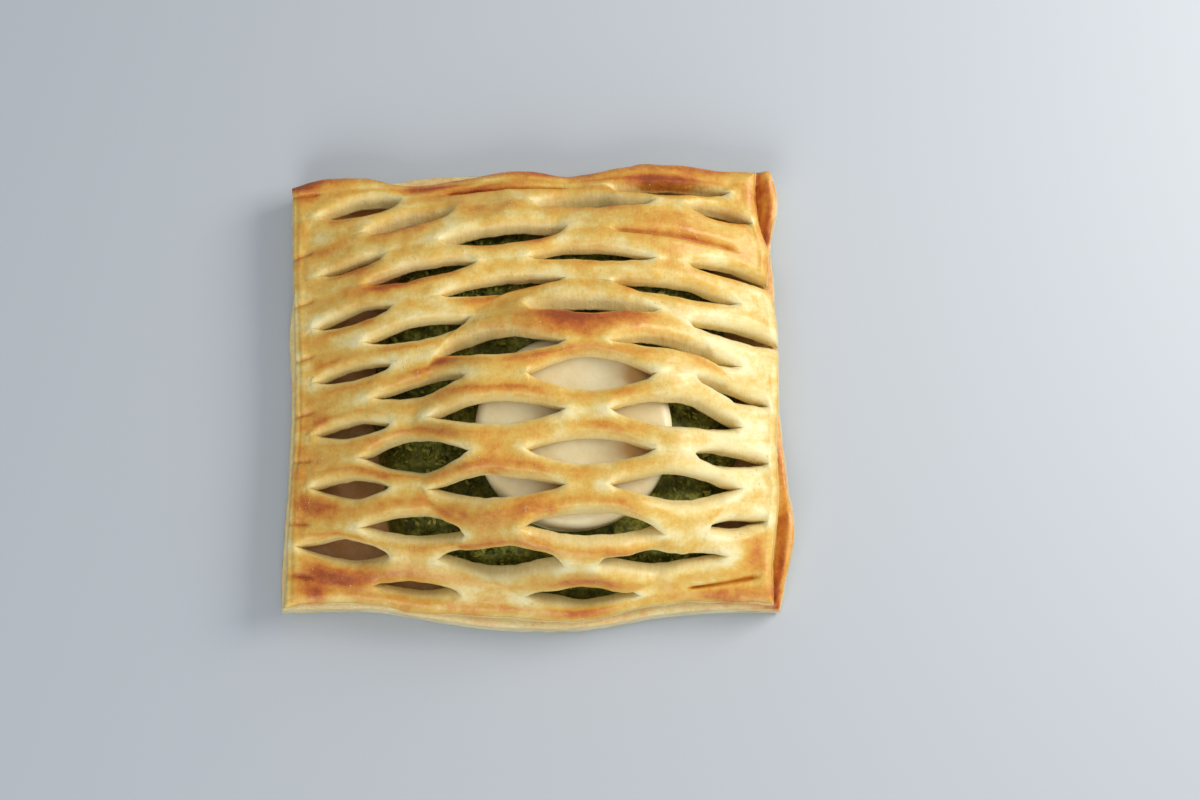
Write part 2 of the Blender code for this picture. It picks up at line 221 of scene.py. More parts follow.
@dataclass(frozen=True)
class Form:
    """The form that all four pieces share: outlines of both sheets, the round, and the domed filling."""

    top_left: Curve = Curve(
        ((-52, -59.3), (-45, -58.9), (-30, -58.3), (-12, -57.5), (4, -57.5), (22, -58.2), (50, -59.3))
    )
    top_right: Curve = Curve((
        (-50, 55.0), (-40, 55.0), (-25, 56.4), (-13, 56.1), (3, 56.7), (18, 56.2), (27, 54.5),
        (35, 54.4), (40, 52.8), (47, 51.8), (54, 51.9),
    ))
    top_back: Curve = Curve((
        (-59, 49.5), (-53, 51.7), (-45, 52.3), (-31, 50.0), (-21, 51.0), (-5, 53.8), (9, 52.4),
        (20, 54.8), (34, 55.3), (44, 53.9), (52, 53.9),
    ))
    top_front: Curve = Curve((
        (-59, -51.7), (-55, -50.4), (-46, -49.7), (-37, -50.1), (-30, -51.4), (-9, -52.5), (9, -53.6),
        (17, -52.4), (27, -50.1), (40, -49.0), (55, -49.8),
    ))
    base_left: Curve = Curve((
        (-50, -60.4), (-44, -60.6), (-32, -60.1), (-20, -59.4), (4, -59.4), (16, -60.0), (24, -59.3),
        (50, -59.8),
    ))
    base_right: Curve = Curve((
        (-51, 57.2), (-44, 58.5), (-34, 60.6), (-22, 59.3), (-5, 57.7), (12, 57.2), (26, 56.6),
        (38, 56.0), (47, 57.6), (56, 55.6),
    ))
    base_back: Curve = Curve((
        (-59, 49.4), (-48, 52.0), (-36, 52.6), (-27, 53.9), (-10, 54.2), (9, 52.6), (20, 54.4),
        (34, 55.0), (48, 54.6), (56, 55.9),
    ))
    base_front: Curve = Curve((
        (-60, -51.4), (-50, -51.2), (-38, -51.2), (-24, -53.6), (-9, -55.4), (4, -55.9), (15, -55.0),
        (28, -52.6), (40, -51.5), (57, -51.2),
    ))
    sheet_left: float = -57.5 * MM
    sheet_right: float = 56.1 * MM
    rest_gap: float = 0.3 * MM
    floor_top: float = 3.0 * MM
    rim_top: float = 5.6 * MM
    sealed_margin: float = 4.0 * MM
    mound_rise: float = 10.8 * MM
    run_left: float = 34.0 * MM
    run_right: float = 28.0 * MM
    run_back: float = 19.0 * MM
    run_front: float = 21.0 * MM
    crease_softness: float = 3.0 * MM
    cheese_x: float = 8.4 * MM
    cheese_y: float = -11.0 * MM
    cheese_radius: float = 22.8 * MM
    cheese_bottom: float = 14.5 * MM
    cheese_top: float = 23.3 * MM
    drape_inner: float = 22.0 * MM
    drape_outer: float = 36.5 * MM
    drape_clearance: float = 0.75 * MM
    slope_step: float = 0.4 * MM

    def rise(self, distance: np.ndarray, run: float) -> np.ndarray:
        """Says how far up the filling has come.

        Args:
            distance: How far inside the crease round the filling.
            run: The distance over which it rises.

        Returns:
            Shares of the full rise.
        """
        softened = 0.5 * (distance + np.sqrt(distance**2 + self.crease_softness**2))
        return np.sin(0.5 * math.pi * np.clip(softened / run, 0.0, 1.0))

    def mound(self, x: np.ndarray, y: np.ndarray) -> np.ndarray:
        """Gives the height of the top sheet's underside where there is no cheese.

        Args:
            x: Places along X.
            y: Places along Y.

        Returns:
            The heights there.
        """
        margin = self.sealed_margin
        left = self.rise(x - self.top_left.at(y) - margin, self.run_left)
        right = self.rise(self.top_right.at(y) - margin - x, self.run_right)
        back = self.rise(self.top_back.at(x) - margin - y, self.run_back)
        front = self.rise(y - self.top_front.at(x) - margin, self.run_front)
        return self.rim_top + self.rest_gap + self.mound_rise * left * right * back * front

    def underside(self, x: np.ndarray, y: np.ndarray) -> np.ndarray:
        """Gives the height of the top sheet's underside, draped over the cheese.

        Args:
            x: Places along X.
            y: Places along Y.

        Returns:
            The heights there.
        """
        away = np.hypot(x - self.cheese_x, y - self.cheese_y)
        drape = smooth((self.drape_outer - away) / (self.drape_outer - self.drape_inner))
        bare = self.mound(x, y)
        return bare + (self.cheese_top + self.drape_clearance - bare) * drape

    def outward(self, x: np.ndarray, y: np.ndarray) -> tuple[np.ndarray, np.ndarray, np.ndarray]:
        """Gives the directions that point straight out of the underside.

        Args:
            x: Places along X.
            y: Places along Y.

        Returns:
            The X, Y and Z parts of the unit directions.
        """
        step = self.slope_step
        slope_x = (self.underside(x + step, y) - self.underside(x - step, y)) / (2 * step)
        slope_y = (self.underside(x, y + step) - self.underside(x, y - step)) / (2 * step)
        length = np.sqrt(1.0 + slope_x**2 + slope_y**2)
        return -slope_x / length, -slope_y / length, 1.0 / length


@dataclass(frozen=True)
class Cuts:
    """The staggered cuts of the top sheet. Rows are counted from the back, columns from the left."""

    form: Form
    strands: int = 16
    row_lines: tuple[Triple, ...] = (
        (47.5, 50.1, 51.3), (40.9, 47.1, 48.7), (31.8, 43.4, 39.8), (25.8, 36.2, 30.5), (20.3, 30.9, 24.7),
        (13.5, 24.2, 16.0), (7.1, 16.3, 10.1), (0.8, 9.1, 1.9), (-6.2, 1.9, -5.3), (-11.2, -6.9, -10.9),
        (-16.8, -16.2, -17.5), (-22.9, -24.4, -22.6), (-31.2, -33.0, -29.5), (-36.3, -39.0, -36.3),
        (-43.0, -46.2, -42.2),
    )
    columns: tuple[Pair, ...] = (
        (-51.3, -32.7), (-39.9, -14.2), (-23.0, 6.8), (-2.5, 27.3), (16.6, 45.7), (33.6, 53.0),
    )
    through_rows: tuple[int, ...] = (5, 7)
    through_end_x: float = 60.0 * MM
    uneven: tuple[tuple[int, int, float, float], ...] = (
        (3, 1, -40.5, -19.5), (4, 0, -50.0, -35.0), (9, 1, -37.5, -14.2), (13, 5, 38.0, 53.0),
        (14, 0, -55.0, -32.7), (14, 4, 13.0, 43.0), (15, 1, -38.0, -17.5), (15, 3, -2.5, 23.5),
    )
    openings: tuple[tuple[float, ...], ...] = (
        (2.6, 1.2, 3.0, 2.8, 2.9, 4.2, 4.0),
        (0.9, 2.6, 3.6, 2.8, 7.6, 3.8, 1.2),
        (0.0, 2.2, 2.7, 3.8, 5.5, 5.0, 3.0),
        (0.7, 1.8, 0.9, 8.2, 6.4, 4.8, 1.9),
        (1.6, 0.0, 2.2, 1.3, 6.0, 5.2, 1.6),
        (1.2, 1.8, 2.2, 1.5, 2.8, 1.4, 0.0),
    )
    closed_below: float = 0.6 * MM
    crease_fade: float = 3.0 * MM
    edge_cuts_start_x: float = -58.6 * MM
    edge_cuts_end_x: float = -50.5 * MM
    edge_cut_fade: float = 2.0 * MM
    edge_cut_depth: float = 0.45
    closer_at_edges: float = 0.45
    bow_centre_x: float = 11.8 * MM
    bow_reach_left: float = 70.0 * MM
    bow_reach_right: float = 50.0 * MM

    def ends(self, row: int, column: int) -> tuple[float, float]:
        """Says where a cut starts and ends.

        Args:
            row: The cut's row.
            column: The cut's column.

        Returns:
            The cut's left and right end.
        """
        own = {(cut[0], cut[1]): cut[2:] for cut in self.uneven}
        start, end = (side * MM for side in own.get((row, column), self.columns[column]))
        runs_out = column == len(self.columns) - 1 and row in self.through_rows
        return start, self.through_end_x if runs_out else end

    def opening(self, row: int, column: int) -> float:
        """Says how far a cut has pulled open at its middle.

        Args:
            row: The cut's row.
            column: The cut's column.

        Returns:
            The width of the opening.
        """
        place = (row - 2 - column % 2) // 2
        return self.openings[column][place] * MM if 0 <= place < len(self.openings[column]) else 0.0

    def lens(self, row: int, x: np.ndarray) -> tuple[np.ndarray, np.ndarray]:
        """Reads how far one row's cuts are open.

        Args:
            row: The row.
            x: Places along X.

        Returns:
            The share of the full opening at each place, and the full opening there.
        """
        share = np.zeros(len(x))
        opening = np.zeros(len(x))
        if not 1 < row < self.strands:
            return share, opening
        for column in range(row % 2, len(self.openings), 2):
            full = self.opening(row, column)
            start, end = self.ends(row, column)
            inside = (x > start) & (x < end)
            if full >= self.closed_below:
                middle = 0.5 * (start + end)
                share[inside] = np.cos(math.pi * (x[inside] - middle) / (end - start))
                opening[inside] = full
        return share, opening

    def crease(self, row: int, x: np.ndarray) -> np.ndarray:
        """Says where a row's cuts stayed shut and left a crease.

        Args:
            row: The row.
            x: Places along X.

        Returns:
            1 at a crease and 0 elsewhere, with soft ends.
        """
        depth = np.zeros(len(x))
        if row % 2 and 0 < row < self.strands:
            depth = self.edge_cut_depth * smooth((self.edge_cuts_end_x - x) / self.edge_cut_fade)
            depth *= smooth((x - self.edge_cuts_start_x) / MM)
        for column in range(row % 2, len(self.openings), 2):
            if 1 < row < self.strands and self.opening(row, column) < self.closed_below:
                start, end = self.ends(row, column)
                ends = smooth((x - start) / self.crease_fade) * smooth((end - x) / self.crease_fade)
                depth = np.maximum(depth, ends)
        return depth

    def line(self, row: int, x: np.ndarray) -> np.ndarray:
        """Says where a row runs. The first and last rows are the sheet's own edges.

        Args:
            row: The row.
            x: Places along X.

        Returns:
            The row's Y at each place.
        """
        if row == 0:
            return self.form.top_back.at(x)
        if row == self.strands:
            return self.form.top_front.at(x)
        left, middle, right = (y * MM for y in self.row_lines[row - 1])
        side = np.where(x < self.bow_centre_x, left, right)
        reach = np.where(x < self.bow_centre_x, self.bow_reach_left, self.bow_reach_right)
        bow = np.cos(0.5 * math.pi * np.clip((x - self.bow_centre_x) / reach, -1.0, 1.0))
        return side + (middle - side) * bow

    def stations(self, spacing: float) -> np.ndarray:
        """Places a column of vertices at every end of a cut, and evenly between.

        Args:
            spacing: The widest step between two columns.

        Returns:
            The columns' places along X.
        """
        left = self.form.sheet_left
        right = self.form.sheet_right
        ends = sorted([left, right, *(end * MM for column in self.columns for end in column)])
        places = [ends[0]]
        for start, end in zip(ends, ends[1:]):
            step = self.closer_at_edges * spacing if start in (left, ends[-2]) else spacing
            pieces = max(1, math.ceil((end - start) / step))
            places += [start + (end - start) * (piece + 1) / pieces for piece in range(pieces)]
        return np.array(places)


class Nodes:
    """Builds one material's node tree, one short call a node."""

    def __init__(self, name: str) -> None:
        """Starts an empty material.

        Args:
            name: The material's name.
        """
        self.material = bpy.data.materials.new(name)
        self.material.use_nodes = True
        self.tree = self.material.node_tree
        self.shader = self.tree.nodes["Principled BSDF"]
        self.place = self.tree.nodes.new("ShaderNodeTexCoord").outputs["Object"]

    def link(self, source: object, target: bpy.types.NodeSocket) -> None:
        """Feeds a socket from another socket, or sets it to a constant.

        Args:
            source: A socket, a number or a colour.
            target: The socket that takes it.
        """
        if isinstance(source, bpy.types.NodeSocket):
            self.tree.links.new(source, target)
        elif isinstance(source, tuple) and len(source) == 3 and target.type == "RGBA":
            target.default_value = (*source, 1.0)
        else:
            target.default_value = source

    def math(
        self, operation: str, first: object, second: object = 0.0, third: object = 0.0
    ) -> bpy.types.NodeSocket:
        """Adds a math node.

        Args:
            operation: The node's operation.
            first: Its first value.
            second: Its second value.
            third: Its third value.

        Returns:
            The result.
        """
        node = self.tree.nodes.new("ShaderNodeMath")
        node.operation = operation
        for socket, value in zip(node.inputs, (first, second, third)):
            self.link(value, socket)
        return node.outputs[0]

    def pile(self, start: object, *parts: tuple[object, float]) -> bpy.types.NodeSocket:
        """Adds patterns to a value, each by its own share.

        Args:
            start: The value.
            parts: Each pattern and its share.

        Returns:
            The sum.
        """
        total = start
        for pattern, share in parts:
            total = self.math("MULTIPLY_ADD", pattern, share, total)
        return total

    def stretch(self, vector: bpy.types.NodeSocket, scale: Triple) -> bpy.types.NodeSocket:
        """Scales a vector.

        Args:
            vector: The vector.
            scale: A factor for each axis.

        Returns:
            The scaled vector.
        """
        node = self.tree.nodes.new("ShaderNodeVectorMath")
        node.operation = "MULTIPLY"
        self.link(vector, node.inputs[0])
        node.inputs[1].default_value = scale
        return node.outputs[0]

    def noise(
        self, vector: bpy.types.NodeSocket, size: float, detail: float = 2.0, rough: float = 0.5
    ) -> bpy.types.NodeSocket:
        """Adds a noise texture.

        Args:
            vector: Where the noise is read.
            size: Metres from one blotch to the next.
            detail: How many finer layers it has.
            rough: How strong the finer layers are.

        Returns:
            The noise, from 0 to 1.
        """
        node = self.tree.nodes.new("ShaderNodeTexNoise")
        self.link(vector, node.inputs["Vector"])
        node.inputs["Scale"].default_value = 1.0 / size
        node.inputs["Detail"].default_value = detail
        node.inputs["Roughness"].default_value = rough
        return node.outputs["Fac"]

    def cells(self, vector: bpy.types.NodeSocket, size: float) -> bpy.types.NodeSocket:
        """Adds a cell texture.

        Args:
            vector: Where it is read.
            size: Metres from one cell to the next.

        Returns:
            The distance to the nearest cell's middle, in cells.
        """
        node = self.tree.nodes.new("ShaderNodeTexVoronoi")
        self.link(vector, node.inputs["Vector"])
        node.inputs["Scale"].default_value = 1.0 / size
        return node.outputs["Distance"]

    def range(
        self, value: object, low: float, high: float, to_low: float = 0.0, to_high: float = 1.0
    ) -> bpy.types.NodeSocket:
        """Maps a value from one range to another, with soft ends.

        Args:
            value: The value.
            low: The start of its range.
            high: The end of its range.
            to_low: What the start becomes.
            to_high: What the end becomes.

        Returns:
            The mapped value.
        """
        node = self.tree.nodes.new("ShaderNodeMapRange")
        node.interpolation_type = "SMOOTHSTEP"
        for socket, number in zip(node.inputs, (value, low, high, to_low, to_high)):
            self.link(number, socket)
        return node.outputs[0]

    def ramp(
        self, value: bpy.types.NodeSocket, stops: tuple[tuple[float, Colour], ...]
    ) -> bpy.types.NodeSocket:
        """Turns a value into a colour.

        Args:
            value: The value, from 0 to 1.
            stops: Places and their colours.

        Returns:
            The colour.
        """
        node = self.tree.nodes.new("ShaderNodeValToRGB")
        band = node.color_ramp
        while len(band.elements) < len(stops):
            band.elements.new(1.0)
        for element, (place, colour) in zip(band.elements, stops):
            element.position = place
            element.color = (*colour, 1.0)
        self.link(value, node.inputs[0])
        return node.outputs[0]

    def mix(self, share: object, first: object, second: object, mode: str = "MIX") -> bpy.types.NodeSocket:
        """Mixes two colours.

        Args:
            share: How much of the second shows.
            first: The first colour.
            second: The second colour.
            mode: How they mix.

        Returns:
            The mixed colour.
        """
        node = self.tree.nodes.new("ShaderNodeMix")
        node.data_type = "RGBA"
        node.blend_type = mode
        self.link(share, node.inputs["Factor"])
        self.link(first, node.inputs[6])
        self.link(second, node.inputs[7])
        return node.outputs[2]

    def attribute(self, name: str) -> bpy.types.NodeSocket:
        """Reads a number that the mesh keeps at each vertex.

        Args:
            name: The attribute's name.

        Returns:
            The number.
        """
        node = self.tree.nodes.new("ShaderNodeAttribute")
        node.attribute_name = name
        return node.outputs["Fac"]

    def bump(self, height: bpy.types.NodeSocket, depth: float) -> None:
        """Gives the shader a relief.

        Args:
            height: The relief, from 0 to 1.
            depth: Its depth, in metres.
        """
        node = self.tree.nodes.new("ShaderNodeBump")
        node.inputs["Distance"].default_value = depth
        self.link(height, node.inputs["Height"])
        self.link(node.outputs[0], self.shader.inputs["Normal"])

    def set(self, **values: object) -> bpy.types.Material:
        """Sets the shader's sockets.

        Args:
            values: Each socket's name, with _ for a space, and its value.

        Returns:
            The finished material.
        """
        for name, value in values.items():
            self.link(value, self.shader.inputs[name.replace("_", " ")])
        return self.material


@dataclass(frozen=True)
class BakedCrust:
    """Puff pastry with an egg wash. The mesh says how browned each place is, with some painted light and
    shade in it, and how high up a side it is.
    """

    name: str
    layering: float
    white: str = "F5E7B0"
    pale: str = "EED68C"
    straw: str = "E4BB58"
    gold: str = "DC9D3A"
    amber: str = "CC7C24"
    brown: str = "B85C12"
    dark: str = "9C4608"
    inner: str = "F2DC9C"
    layer_line: str = "D9BA72"
    # Near-white of the drops' painted highlight.
    wash: str = "FFEFC6"
    glaze: Colour = (1.0, 0.97, 0.88)
    stops: tuple[float, ...] = (0.0, 0.16, 0.34, 0.54, 0.71, 0.87, 1.0)
    # Patterns in the crust, as size, detail and roughness, and how much each browns it.
    mottle: Triple = (2.2 * MM, 5.0, 0.62)
    mottle_stretch: Triple = (1.0, 1.35, 1.0)
    mottling: float = 0.5
    streak: Triple = (0.5 * MM, 3.0, 0.6)
    streak_stretch: Triple = (1.0, 0.16, 0.16)
    streaking: float = 0.08
    freckle: Triple = (0.8 * MM, 3.0, 0.7)
    freckling: float = 0.26
    patterns_add: float = 0.3
    pore: Triple = (0.35 * MM, 2.0, 0.6)
    pore_light: float = 0.16
    # Drops of egg wash, raised, in patches, with a painted highlight: near-white where they sit.
    drop_spacing: float = 1.3 * MM
    drop_edge: Pair = (0.08, 0.2)
    drop_glint_strength: float = 0.66
    drop_patch_size: float = 8.0 * MM
    drop_patch_edge: Pair = (0.53, 0.64)
    # Layers that show in the walls, and from which browning on a wall looks like crust.
    layers: float = 15.0
    layer: Triple = (1.1 * MM, 2.0, 0.6)
    layer_stretch: Triple = (0.1, 0.1, 0.0)
    layer_edge: Pair = (0.48, 0.72)
    stretch_marks: float = 0.6
    wall_browns: Pair = (0.3, 0.75)
    bump_depth: float = 0.32 * MM
    roughness: Pair = (0.36, 0.56)
    coat: float = 0.28
    coat_roughness: float = 0.2
    softness: float = 0.2
    soft_reach: Triple = (1.0, 0.7, 0.35)
    soft_depth: float = 1.6 * MM

    def build(self) -> bpy.types.Material:
        """Makes the material.

        Returns:
            The material.
        """
        nodes = Nodes(self.name)
        bake = nodes.attribute("bake")
        side = nodes.attribute("side")
        level = nodes.attribute("level")
        blotches = nodes.noise(nodes.stretch(nodes.place, self.mottle_stretch), *self.mottle)
        streaks = nodes.noise(nodes.stretch(nodes.place, self.streak_stretch), *self.streak)
        pores = nodes.noise(nodes.place, *self.pore)
        freckles = nodes.noise(nodes.place, *self.freckle)
        browning = nodes.pile(
            nodes.math("SUBTRACT", bake, self.patterns_add),
            (blotches, self.mottling), (streaks, self.streaking), (freckles, self.freckling),
        )
        shades = (self.white, self.pale, self.straw, self.gold, self.amber, self.brown, self.dark)
        crust = nodes.ramp(browning, tuple(zip(self.stops, map(linear, shades))))
        lift = nodes.tree.nodes.new("ShaderNodeCombineXYZ")
        nodes.link(nodes.math("MULTIPLY", level, self.layers * self.layer[0]), lift.inputs["Z"])
        shifted = nodes.tree.nodes.new("ShaderNodeVectorMath")
        nodes.link(nodes.stretch(nodes.place, self.layer_stretch), shifted.inputs[0])
        nodes.link(lift.outputs[0], shifted.inputs[1])
        leaves = nodes.noise(shifted.outputs[0], *self.layer)
        line = nodes.math("MULTIPLY", nodes.range(leaves, *self.layer_edge), self.layering)
        stretched = nodes.range(streaks, 0.35, 0.75, 0.0, self.stretch_marks * (1 - self.layering))
        wall = nodes.mix(nodes.math("MAXIMUM", line, stretched), linear(self.inner), linear(self.layer_line))
        wall = nodes.mix(nodes.range(browning, *self.wall_browns, 0.0, 0.95), wall, crust)
        colour = nodes.mix(side, crust, wall)
        drops_and_glints = nodes.range(nodes.cells(nodes.place, self.drop_spacing), *self.drop_edge, 1.0, 0.0)
        drop_patches = nodes.range(nodes.noise(nodes.place, self.drop_patch_size), *self.drop_patch_edge)
        drops_and_glints = nodes.math("MULTIPLY", drops_and_glints, drop_patches)
        # Painted highlight: the drops turn near-white.
        colour = nodes.mix(nodes.math("MULTIPLY", drops_and_glints, self.drop_glint_strength), colour, linear(self.wash))
        glazed = nodes.range(pores, 0.25, 0.75, 0.0, self.pore_light)
        colour = nodes.mix(glazed, colour, self.glaze, "SOFT_LIGHT")
        rough = nodes.range(blotches, 0.25, 0.8, *self.roughness)
        grooves = nodes.math("MULTIPLY", line, side)
        height = nodes.pile(
            0.0, (blotches, 0.55), (pores, 0.28), (streaks, 0.2), (drops_and_glints, 0.7), (grooves, -0.5),
        )
        nodes.bump(height, self.bump_depth)
        return nodes.set(
            Base_Color=colour, Roughness=rough, Coat_Weight=self.coat, Coat_Roughness=self.coat_roughness,
            Subsurface_Weight=self.softness, Subsurface_Radius=self.soft_reach,
            Subsurface_Scale=self.soft_depth,
        )


@dataclass(frozen=True)
class ChoppedLeaf:
    """Cooked, chopped spinach: dark and wet, with paler scraps."""

    name: str
    # The darkest green, for dark shreds and the painted shade in the hollows.
    dark_leaf_and_hollow_shade: str = "33340C"
    leaf: str = "6C6E1A"
    light: str = "AAA63E"
    stalk: str = "BAB468"
    # Patterns, as size, detail and roughness.
    shred: Triple = (0.9 * MM, 4.0, 0.65)
    clump: Triple = (4.0 * MM, 2.0, 0.5)
    fibre: Triple = (0.4 * MM, 3.0, 0.6)
    fibre_stretch: Triple = (1.0, 0.45, 1.0)
    bump_depth: float = 0.3 * MM
    patterns_add: float = 0.42
    roughness: Pair = (0.42, 0.65)

    def build(self) -> bpy.types.Material:
        """Makes the material.

        Returns:
            The material.
        """
        nodes = Nodes(self.name)
        lump_shade_and_scrap_tone = nodes.attribute("lump_shade_and_scrap_tone")
        shreds = nodes.noise(nodes.place, *self.shred)
        clumps = nodes.noise(nodes.place, *self.clump)
        # Painted light and shade: the mound's lumps are lighter on top and darker in the hollows; scraps keep
        # their own random tone.
        tone = nodes.pile(-self.patterns_add, (lump_shade_and_scrap_tone, 0.45), (shreds, 0.9), (clumps, 0.35))
        colour = nodes.ramp(tone, (
            (0.1, linear(self.dark_leaf_and_hollow_shade)), (0.42, linear(self.leaf)), (0.68, linear(self.light)),
            (0.95, linear(self.stalk)),
        ))
        fibres = nodes.noise(nodes.stretch(nodes.place, self.fibre_stretch), *self.fibre)
        nodes.bump(nodes.pile(fibres, (shreds, 0.6)), self.bump_depth)
        return nodes.set(
            Base_Color=colour, Roughness=nodes.range(fibres, 0.3, 0.7, *self.roughness), Coat_Weight=0.05,
            Coat_Roughness=0.25, Specular_IOR_Level=0.35,
        )


@dataclass(frozen=True)
class SoftCheese:
    """Ivory white cheese, smooth and soft, with small pores. The mesh says where egg wash stained it."""

    name: str
    body: str = "FDF0CC"
    warm: str = "F3E1B2"
    pore: str = "D9C79C"
    film: str = "E3A94E"
    # Patterns, as size, detail and roughness.
    cloud: Triple = (7.0 * MM, 3.0, 0.55)
    dent: Triple = (1.6 * MM, 3.0, 0.5)
    pore_spacing: float = 1.4 * MM
    film_starts: float = 0.3
    roughness: Pair = (0.34, 0.46)
    bump_depth: float = 0.12 * MM
    softness: float = 0.4
    soft_reach: Triple = (1.0, 0.9, 0.7)
    soft_depth: float = 3.0 * MM

    def build(self) -> bpy.types.Material:
        """Makes the material.

        Returns:
            The material.
        """
        nodes = Nodes(self.name)
        clouds = nodes.noise(nodes.place, *self.cloud)
        pores = nodes.cells(nodes.place, self.pore_spacing)
        colour = nodes.mix(nodes.range(clouds, 0.3, 0.7), linear(self.body), linear(self.warm))
        colour = nodes.mix(nodes.range(pores, 0.0, 0.16, 0.25, 0.0), colour, linear(self.pore))
        stain = nodes.pile(-self.film_starts, (nodes.attribute("film"), 1.0), (clouds, 0.6))
        colour = nodes.mix(nodes.range(stain, 0.1, 0.8, 0.0, 0.8), colour, linear(self.film))
        dents = nodes.noise(nodes.place, *self.dent)
        nodes.bump(nodes.pile(dents, (nodes.range(pores, 0.0, 0.2), 0.35)), self.bump_depth)
        return nodes.set(
            Base_Color=colour, Roughness=nodes.range(clouds, 0.3, 0.7, *self.roughness), Coat_Weight=0.1,
            Coat_Roughness=0.3, Subsurface_Weight=self.softness, Subsurface_Radius=self.soft_reach,
            Subsurface_Scale=self.soft_depth,
        )


@dataclass(frozen=True)
class PlainFloor:
    """A pale, plain floor."""

    name: str
    shade: str = "C3CAD3"
    roughness: float = 0.55
    shine: float = 0.3

    def build(self) -> bpy.types.Material:
        """Makes the material.

        Returns:
            The material.
        """
        return Nodes(self.name).set(
            Base_Color=linear(self.shade), Roughness=self.roughness, Specular_IOR_Level=self.shine
        )


def flat_grid(columns: int, rows: int) -> bmesh.types.BMesh:
    """Makes a flat grid whose vertices hold their column, row and layer 0 as their place.

    Args:
        columns: Cells from left to right.
        rows: Cells from front to back, or from the first row to the last.

    Returns:
        The grid.
    """
    grid = bmesh.new()
    bmesh.ops.create_grid(grid, x_segments=columns, y_segments=rows, size=0.5)
    for vertex in grid.verts:
        vertex.co = (round((vertex.co.x + 0.5) * columns), round((vertex.co.y + 0.5) * rows), 0.0)
    return grid


def to_object(
    mesh: bmesh.types.BMesh,
    name: str,
    material: bpy.types.Material,
    node: str,
    numbers: dict[str, np.ndarray] | None = None,
    sharp_angle: float = 70.0,
) -> bpy.types.Object:
    """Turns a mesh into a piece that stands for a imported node.

    Args:
        mesh: The mesh, which is freed.
        name: The piece's name.
        material: Its finish.
        node: The node that it stands for.
        numbers: What the finish reads at each vertex, by name.
        sharp_angle: Edges sharper than this many degrees stay sharp.

    Returns:
        The piece.
    """
    bmesh.ops.recalc_face_normals(mesh, faces=mesh.faces[:])
    data = bpy.data.meshes.new(name)
    mesh.to_mesh(data)
    mesh.free()
    for key, values in (numbers or {}).items():
        layer = data.attributes.new(key, "FLOAT", "POINT")
        layer.data.foreach_set("value", np.asarray(values, np.float32))
    data.shade_smooth()
    data.set_sharp_from_angle(angle=math.radians(sharp_angle))
    data.materials.append(material)
    piece = bpy.data.objects.new(name, data)
    bpy.context.scene.collection.objects.link(piece)
    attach(piece, "root")
    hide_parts(node)
    LOG.info("%s: %d faces", name, len(data.polygons))
    return piece


